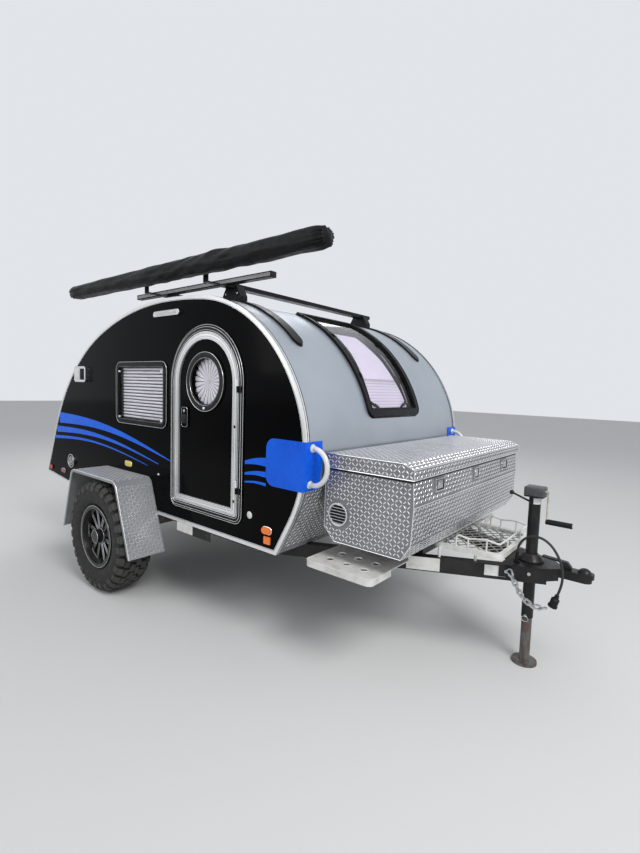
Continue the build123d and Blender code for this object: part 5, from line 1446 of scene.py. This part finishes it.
catches = bmesh.new()
for up in (-0.20, 0.12):
    for across in (-0.262, 0.262):
        hit, normal = on_front_frame(across, up)
        place = Matrix.Translation(hit) @ turn_to(normal, (0, 1, 0))
        add_block(catches, (-0.017, -0.009, -0.001), (0.017, 0.009, 0.006), 0.003, 2, place)
for side in (-1, 1):
    for across, degrees in ((0.150, 19.4), (0.190, 20.4)):
        hit, normal = on_front_blind(side * across, degrees)
        place = Matrix.Translation(hit) @ turn_to(normal, (0, 1, side * 0.6))
        add_block(catches, (-0.009, -0.024, -0.002), (0.009, 0.024, 0.005), 0.003, 2, place)
set_down(catches, "front_window_catches", "trailer", black_plastic)

# %% [markdown]
# The toolbox is folded from tread plate and welded. Each corner gets a thin weld bead, and
# the lid's lower edge a lip, both coloured near white like the bars, a painted highlight.
# The latches get a dark bottom in their recess and a round lock, and the vents a dark disc
# behind their slats.

# %% Welds of the toolbox and its lid
BOX_LINE = ((1.411, 0.639), (1.457, 0.713), (1.465, 0.882), (1.457, 1.002))
BOX_REAR = ((1.036, 0.639), (0.972, 0.703), (0.972, 1.002))
LID_LINE = ((0.990, 1.078), (1.413, 1.078), (1.471, 1.054), (1.471, 1.007))
SIDE_BEAD = 0.0017
box_half, lid_half = box_high[1], lid_high[1]

# The weld beads are coloured near white like the bars: painted highlight.
welds = bmesh.new()
for side in (-1, 1):
    for line in (BOX_LINE, BOX_REAR, (BOX_REAR[0], BOX_LINE[0])):
        add_wire(welds, [(x, side * (box_half - 0.0006), z) for x, z in line], SIDE_BEAD)
for x, z in (BOX_LINE[0], BOX_LINE[2]) + BOX_REAR[:2]:
    add_wire(welds, [(x - 0.0002, side * box_half, z) for side in (-1, 1)], 0.0024)
set_down(welds, "toolbox_welds", "trailer", painted_highlight_metal)

welds = bmesh.new()
for side in (-1, 1):
    add_wire(welds, [(x, side * (lid_half - 0.0006), z - 0.0004) for x, z in LID_LINE], SIDE_BEAD)
for x, z in LID_LINE[1:3]:
    add_wire(welds, [(x - 0.0004, side * lid_half, z - 0.0004) for side in (-1, 1)], 0.0014)
# The lid's lower lip, coloured near white: painted highlight.
lip = [(0.990, -lid_half), (1.471, -lid_half), (1.471, lid_half), (0.990, lid_half)]
add_wire(welds, [(x, y * 0.9995, 1.0085) for x, y in lip], 0.0026)
set_down(welds, "lid_welds", "lid", painted_highlight_metal)

# %% Latches, the seal with its painted shadow, and the vents of the toolbox
LATCH_FACE = 1.464
BOX_OUTSIDE_Y = 0.7095

darks = bmesh.new()
locks = bmesh.new()
for y, width in LATCHES:
    add_plate(darks, (LATCH_FACE, y, 0.9575), (0.0006, width / 2 - 0.0072, 0.0253))
    add_bar(locks, (LATCH_FACE + 0.004, y, 0.9585), (LATCH_FACE + 0.0066, y, 0.9585), 0.0085, segments=24)
    add_plate(locks, (LATCH_FACE + 0.0066, y, 0.9585), (0.0006, 0.0010, 0.0045))
# A dark band under the lid's edge along the box's sides and front: a rubber seal, coloured darker as a
# painted shadow under the lid's overhang.
for side in (-1, 1):
    add_plate(darks, (1.219, side * BOX_OUTSIDE_Y, 0.99825), (0.239, 0.0020, 0.00475), 0.0008, 1)
add_plate(darks, (1.4575, 0, 0.99875), (0.0015, 0.7105, 0.00425), 0.0008, 1)
for side in (-1, 1):
    add_bar(darks, (VENT.x, side * BOX_OUTSIDE_Y, VENT.z), (VENT.x, side * 0.7108, VENT.z), 0.0492, segments=48)
    for radius in (0.0575, 0.0506):
        add_ring(locks, (VENT.x, side * 0.7163, VENT.z), radius, 0.0010, 56)
set_down(darks, "toolbox_recesses_and_lid_shadow", "trailer", black_plastic)
set_down(locks, "toolbox_locks", "trailer", bright_fittings)

# %% [markdown]
# Small fasteners come next: domed rivets hold the blue corner plates, round flanges carry
# the white handles, and the step plates have a rolled lip with a raised rim round each
# drain hole.

# %% Corner plates and handles
RIVETS = (
    (0.738, 1.096), (0.812, 1.119), (0.890, 1.119), (0.711, 1.012), (0.738, 0.928), (0.812, 0.905),
    (0.890, 0.905),
)
RIVET = (0.0068, 0.0030)  # radius and height
plate_tree = sheet_tree("corner_plates")


def on_plate_front(y, z):
    """Where the front face of a corner plate is, and the way out from it."""
    return plate_tree.ray_cast(Vector((1.3, y, z)), Vector((-1, 0, 0)))[:2]


rivets = bmesh.new()
flanges = bmesh.new()
for side in (-1, 1):
    for x, z in RIVETS:
        add_dome(rivets, (x, side * 0.8559, z), (0, side, 0), *RIVET)
    for z in (0.905, 1.012, 1.119):
        add_dome(rivets, *on_plate_front(side * 0.760, z), *RIVET)
    for z in (0.922, 1.102):
        hit, normal = on_plate_front(side * 0.805, z)
        add_bar(flanges, hit - normal * 0.001, hit + normal * 0.005, 0.0215, 0.0175, 32)
set_down(rivets, "plate_rivets", "trailer", blue_plate)
set_down(flanges, "handle_flanges", "trailer", white_enamel)

# %% Step plates
STEP = Vector((1.122, 0.615, 0.5440))
STEP_HALF = (0.194, 0.184)
HOLE_PITCH = 0.102

rims = bmesh.new()
for side in (-1, 1):
    edge = [(STEP.x + sx * STEP_HALF[0], side * STEP.y + sy * STEP_HALF[1], STEP.z) for sx, sy in SQUARE]
    add_wire(rims, rounded_path(edge, 0.029), 0.0024, closed=True)
    for column in (-1, 0, 1):
        for row in (0, 1):
            hole = (STEP.x + column * HOLE_PITCH, side * (0.712 - row * HOLE_PITCH), STEP.z + 0.0012)
            add_ring(rims, hole, 0.0212, 0.0019, 32, axis=(0, 0, 1))
set_down(rims, "step_rims", "trailer", step_alloy)

# %% [markdown]
# On the roof, the cross bars end in plastic caps, bolts hold the feet, and a bright cover
# strip is clipped to the rail that carries the awning. The bag's flap is sewn down with a
# cord in its hem, which is laid on the folded cloth with rays.

# %% Roof rack details
CROSS_BARS = (-0.415, 0.195)
RAIL_ENDS = (-0.681, 0.621)

caps = bmesh.new()
bolts = bmesh.new()
for x in CROSS_BARS:
    add_plate(caps, (x, 0.74725, 1.9750), (0.031, 0.00275, 0.0140), 0.0035, 3)
    for side in (-1, 1):
        for dx in (-0.050, 0.050):
            add_dome(bolts, (x + dx, side * 0.6830, 1.930), (0, side, 0), 0.0060, 0.0035)
    for z in (2.020, 2.050):
        add_dome(bolts, (x, -0.8625, z), (0, 1, 0), 0.0070, 0.0040)
for x in RAIL_ENDS:
    add_plate(caps, (x, -0.7600, 1.9750), (0.003, 0.0215, 0.0160), 0.0025)
set_down(caps, "rack_caps", "trailer", black_plastic)
set_down(bolts, "rack_bolts", "trailer", bright_fittings)

cover = bmesh.new()
add_plate(cover, (-0.030, -0.78035, 1.9750), (0.646, 0.00085, 0.0090), 0.0007, 1)
set_down(cover, "rail_cover", "trailer", bright_trim)

# %% Hems of the awning's bag
HEM_ANGLES = (-0.78, -0.42)
HEM_END = 0.03

bag_bm = bmesh.new()
bag_bm.from_mesh(bag.data)
bag_tree = BVHTree.FromBMesh(bag_bm)
bag_bm.free()
bag_middle = (AWNING_LOW + AWNING_HIGH) / 2
hems = bmesh.new()
for angle in HEM_ANGLES:
    out = Vector((0, -math.cos(angle), math.sin(angle)))
    points = []
    for n in range(121):
        x = AWNING_LOW.x + HEM_END + (AWNING_HIGH.x - AWNING_LOW.x - 2 * HEM_END) * n / 120
        points.append(bag_tree.ray_cast(Vector((x, bag_middle.y, bag_middle.z)) + out * 0.2, -out)[0])
    add_wire(hems, points, 0.0018)
set_down(hems, "bag_hems", "trailer", awning_vinyl)

# %% [markdown]
# The wheels are black with machined edges that shine: two lines along each spoke, arcs
# between the spokes' ends and a ring on the lip. A black cap stands out from the hub and
# is left blank, and a rubber valve stands in the rim.

# %% Wheel details
SPOKE_FACE = 0.0618
SPOKE_LINES = (  # radius and place aside, near the hub and near the rim
    ((0.052, 0.0068), (0.172, 0.0322)),
    ((0.052, 0.0222), (0.172, 0.0492)),
)
# The first ring is the rim's machined lip; the two round the black cap's face and its foot are painted
# highlights.
LIP_RING_AND_CAP_HIGHLIGHTS = ((0.2040, 0.0995), (0.0425, 0.1030), (0.0475, 0.0640))  # radius and depth
CAP_ROWS = (  # radius and depth, from the cap's foot to its face
    (0.0, 0.0600), (0.047, 0.0600), (0.047, 0.0660), (0.0445, 0.0690), (0.0435, 0.1010), (0.0405, 0.1045),
    (0.0, 0.1055),
)


def in_wheel(side, radius, turn, out, aside=0.0):
    """A place in the wheel: along a direction, beside it, and outwards from its middle."""
    along = Vector((math.cos(turn), 0, math.sin(turn)))
    beside = Vector((-math.sin(turn), 0, math.cos(turn)))
    middle = Vector((WHEEL_X, side * (TRACK_HALF + out), TYRE_RADIUS))
    return middle + along * radius + beside * aside


for name, side in SIDES:
    body = "wheel_" + name
    brights = bmesh.new()
    for pair in range(6):
        turn = math.radians(60 * pair)
        for lean in (-1, 1):
            for line in SPOKE_LINES:
                ends = [in_wheel(side, radius, turn, SPOKE_FACE, lean * aside) for radius, aside in line]
                add_wire(brights, ends, 0.0016)
        arc = [in_wheel(side, 0.1745, turn + math.radians(a), SPOKE_FACE) for a in range(-16, 17, 4)]
        add_wire(brights, arc, 0.0014)
    for radius, out in LIP_RING_AND_CAP_HIGHLIGHTS:
        add_ring(brights, in_wheel(side, 0, 0, out), radius, 0.0015, 72)
    set_down(brights, "rim_brights_" + name, body, bright_fittings)

    cap = bmesh.new()
    rows = [(radius + 0.0002, side * depth) for radius, depth in CAP_ROWS]
    spun_ring(cap, in_wheel(side, 0, 0, 0), rows, 64)
    set_down(cap, "hub_cap_" + name, body, rim_black)

    valve = bmesh.new()
    foot = in_wheel(side, 0.168, math.radians(30), 0.030)
    add_bar(valve, foot, foot + Vector((0, side * 0.032, 0)), 0.0055, 0.0040)
    set_down(valve, "tyre_valve_" + name, body, black_plastic)

# %% [markdown]
# The lamps have chrome bezels, the big round cap on the wall has a ring with ribs, and a
# small louvred cover sits behind the window. Lines and lenses like these are short paths
# and blocks on the wall's face.

# %% Fender beads
FENDER_LINE = ((-0.2182, 0.3105), (-0.386, 0.772), (-1.000, 0.772), (-1.1478, 0.3355))
beads = bmesh.new()
for side in (-1, 1):
    line = [(x, side * (FENDER_OUTER - 0.0010), z - 0.0006) for x, z in FENDER_LINE]
    add_wire(beads, rounded_path(line, 0.060, closed=False, steps=8), 0.0022)
set_down(beads, "fender_beads", "trailer", bright_trim)

# %% Lamps and caps on the walls
SLOTS = (  # x, z, length, height, y and the wire's radius
    (0.711, 0.652, 0.066, 0.038, 0.8525, 0.0030),
    (-1.736, 0.632, 0.063, 0.033, 0.8520, 0.0024),
    (-0.675, 0.824, 0.092, 0.036, 0.8515, 0.0020),
    (-0.198, 1.822, 0.276, 0.030, 0.8672, 0.0014),
)
CAP_X, CAP_Z = -1.565, 0.734
LOUVRE_X, LOUVRE_Z = -1.353, 1.440

bezels = bmesh.new()
lenses = bmesh.new()
yellow = bmesh.new()
faces = bmesh.new()
discs = bmesh.new()
for side in (-1, 1):
    outwards = (0, side, 0)
    for x, z, length, height, y, radius in SLOTS:
        add_wire(bezels, slot_path(x, z, length, height, side, y), radius, closed=True)
    for radius in (0.053, 0.034):
        add_ring(bezels, (CAP_X, side * 0.8646, CAP_Z), radius, 0.0022, 48)
    for n in range(6):
        a = math.radians(60 * n + 30)
        rib = [(CAP_X + r * math.cos(a), side * 0.8650, CAP_Z + r * math.sin(a)) for r in (0.004, 0.034)]
        add_bar(bezels, *rib, 0.0024, segments=10)
    add_bar(discs, (CAP_X, side * 0.8636, CAP_Z), (CAP_X, side * 0.8644, CAP_Z), 0.0500, segments=48)
    add_dome(bezels, (-0.300, side * WALL_Y, 0.800), outwards, 0.0085, 0.006)
    add_dome(faces, (0.587, side * 0.8620, 0.711), outwards, 0.0175, 0.0045, 24)
    add_plate(lenses, (-0.198, side * 0.8690, 1.8220), (0.102, 0.0018, 0.0085), 0.0016)
    add_plate(yellow, (-0.675, side * 0.8520, 0.8240), (0.044, 0.003, 0.0160), 0.0025)
    add_plate(faces, (LOUVRE_X - 0.042, side * 0.8800, LOUVRE_Z), (0.036, 0.004, 0.045), 0.0035, 3)
    for n in range(5):
        x = LOUVRE_X + 0.012 + 0.014 * n
        add_plate(discs, (x, side * 0.8800, LOUVRE_Z), (0.0035, 0.0025, 0.043), 0.0015)
    edge = [(LOUVRE_X + sx * 0.090, side * 0.8795, LOUVRE_Z + sz * 0.055) for sx, sz in SQUARE]
    add_wire(bezels, rounded_path(edge, 0.020), 0.0016, closed=True)
set_down(bezels, "lamp_bezels", "trailer", bright_fittings)
set_down(lenses, "porch_lenses", "trailer", frosted_lens)
set_down(yellow, "yellow_reflectors", "trailer", yellow_lens)
set_down(faces, "cap_faces", "trailer", white_enamel)
set_down(discs, "cap_discs", "trailer", black_plastic)

# %% [markdown]
# Last, the tongue: bolts round the jack's flange and along the coupler's skirts, a pin
# with a ring near the foot of the jack's tube, a rubber grip on the crank, and the tapered
# boot that keeps the cable from kinking where it leaves its gland.

# %% Bolts, grip and boot on the tongue
JACK_X = 1.777
FLANGE_TOP = 0.5543
PIN_Z = 0.262
SKIRT_BOLTS = ((1.705, 0.1613), (1.800, 0.1155))
GRIP_Z, GRIP_RADIUS = 0.760, 0.0136

bolts = bmesh.new()
for n in range(3):
    a = math.radians(120 * n + 60)
    place = Vector((JACK_X + 0.051 * math.cos(a), 0.051 * math.sin(a), FLANGE_TOP))
    add_bar(bolts, place, place + Vector((0, 0, 0.0015)), 0.0105, segments=24)
    add_bar(bolts, place + Vector((0, 0, 0.001)), place + Vector((0, 0, 0.0080)), 0.0078, 0.0074, 6)
for side in (-1, 1):
    for x, y in SKIRT_BOLTS:
        place = Vector((x, side * y, 0.512))
        out = Vector((0.434, side * 0.901, 0))
        add_bar(bolts, place - out * 0.004, place + out * 0.0055, 0.0095, 0.0090, 6)
for side in (-1, 1):
    add_bar(bolts, (JACK_X, side * 0.0280, PIN_Z), (JACK_X, side * 0.0420, PIN_Z), 0.0062)
add_ring(bolts, (JACK_X, -0.0400, PIN_Z - 0.016), 0.016, 0.0017, 32, axis=(0, 1, 0.25))
set_down(bolts, "tongue_bolts", "trailer", galvanised)

gland_x, gland_y, _ = CABLE_ROUTE[0]
grips = bmesh.new()
add_bar(grips, (1.8350, 0, GRIP_Z), (1.9560, 0, GRIP_Z), GRIP_RADIUS, segments=28)
for n in range(9):
    add_ring(grips, (1.8450 + 0.0125 * n, 0, GRIP_Z), GRIP_RADIUS, 0.0012, 28, axis=(1, 0, 0))
add_bar(grips, (gland_x, gland_y, 0.5660), (gland_x, gland_y, 0.6020), 0.0100, 0.0068, 24)
for n in range(4):
    ring_middle = (gland_x, gland_y, 0.5700 + 0.0075 * n)
    add_ring(grips, ring_middle, 0.0098 - 0.0007 * n, 0.0009, 28, axis=(0, 0, 1))
set_down(grips, "crank_grip_and_boot", "trailer", black_plastic)

# %% [markdown]
# The labels on the jack's tube and on the tongue's beam are left blank. The jack's label
# is wrapped round the tube, as an edge that is spun by 80 degrees and given a thickness.
# Plain plates sit beside it on the beam and under the sills.

# %% Labels, plates and the jack's head


def beside_beam(along, up):
    """A place on the outer face of the right-hand tongue beam: X along it, Y outwards."""
    rear, front = Vector((0.560, -0.700, 0.540)), Vector((1.862, -0.050, 0.540))
    run = (front - rear).normalized()
    out = Vector((run.y, -run.x, 0))
    place = Matrix((run, out, Vector((0, 0, 1)))).transposed().to_4x4()
    place.translation = rear + run * along + out * 0.0250 + Vector((0, 0, up))
    return place


label = bmesh.new()
middle = Vector((JACK_X, 0, 0.859))
verts, edges = line_up(label, [middle + Vector((0, -0.0289, z)) for z in (-0.015, 0.015)])
bmesh.ops.spin(label, geom=verts + edges, cent=middle, axis=(0, 0, 1), angle=math.radians(80), steps=10)
bmesh.ops.recalc_face_normals(label, faces=label.faces)
bmesh.ops.solidify(label, geom=label.faces, thickness=0.0004)
add_block(label, (-0.052, -0.001, -0.027), (0.052, 0.0012, 0.027), 0.0004, 1, beside_beam(1.215, -0.032))
set_down(label, "blank_labels", "trailer", blank_label)

plates = bmesh.new()
add_block(plates, (-0.085, -0.001, -0.034), (0.085, 0.0025, 0.034), 0.0008, 1, beside_beam(0.860, -0.0355))
for side in (-1, 1):
    add_plate(plates, (-0.008, side * 0.8508, 0.50775), (0.080, 0.0010, 0.02825), 0.0006, 1)
set_down(plates, "side_plates", "trailer", step_alloy)

head = bmesh.new()
add_plate(head, (JACK_X, 0, 0.9069), (0.0468, 0.0428, 0.0239), 0.0070, 3)
set_down(head, "jack_head_cover", "trailer", head_paint)
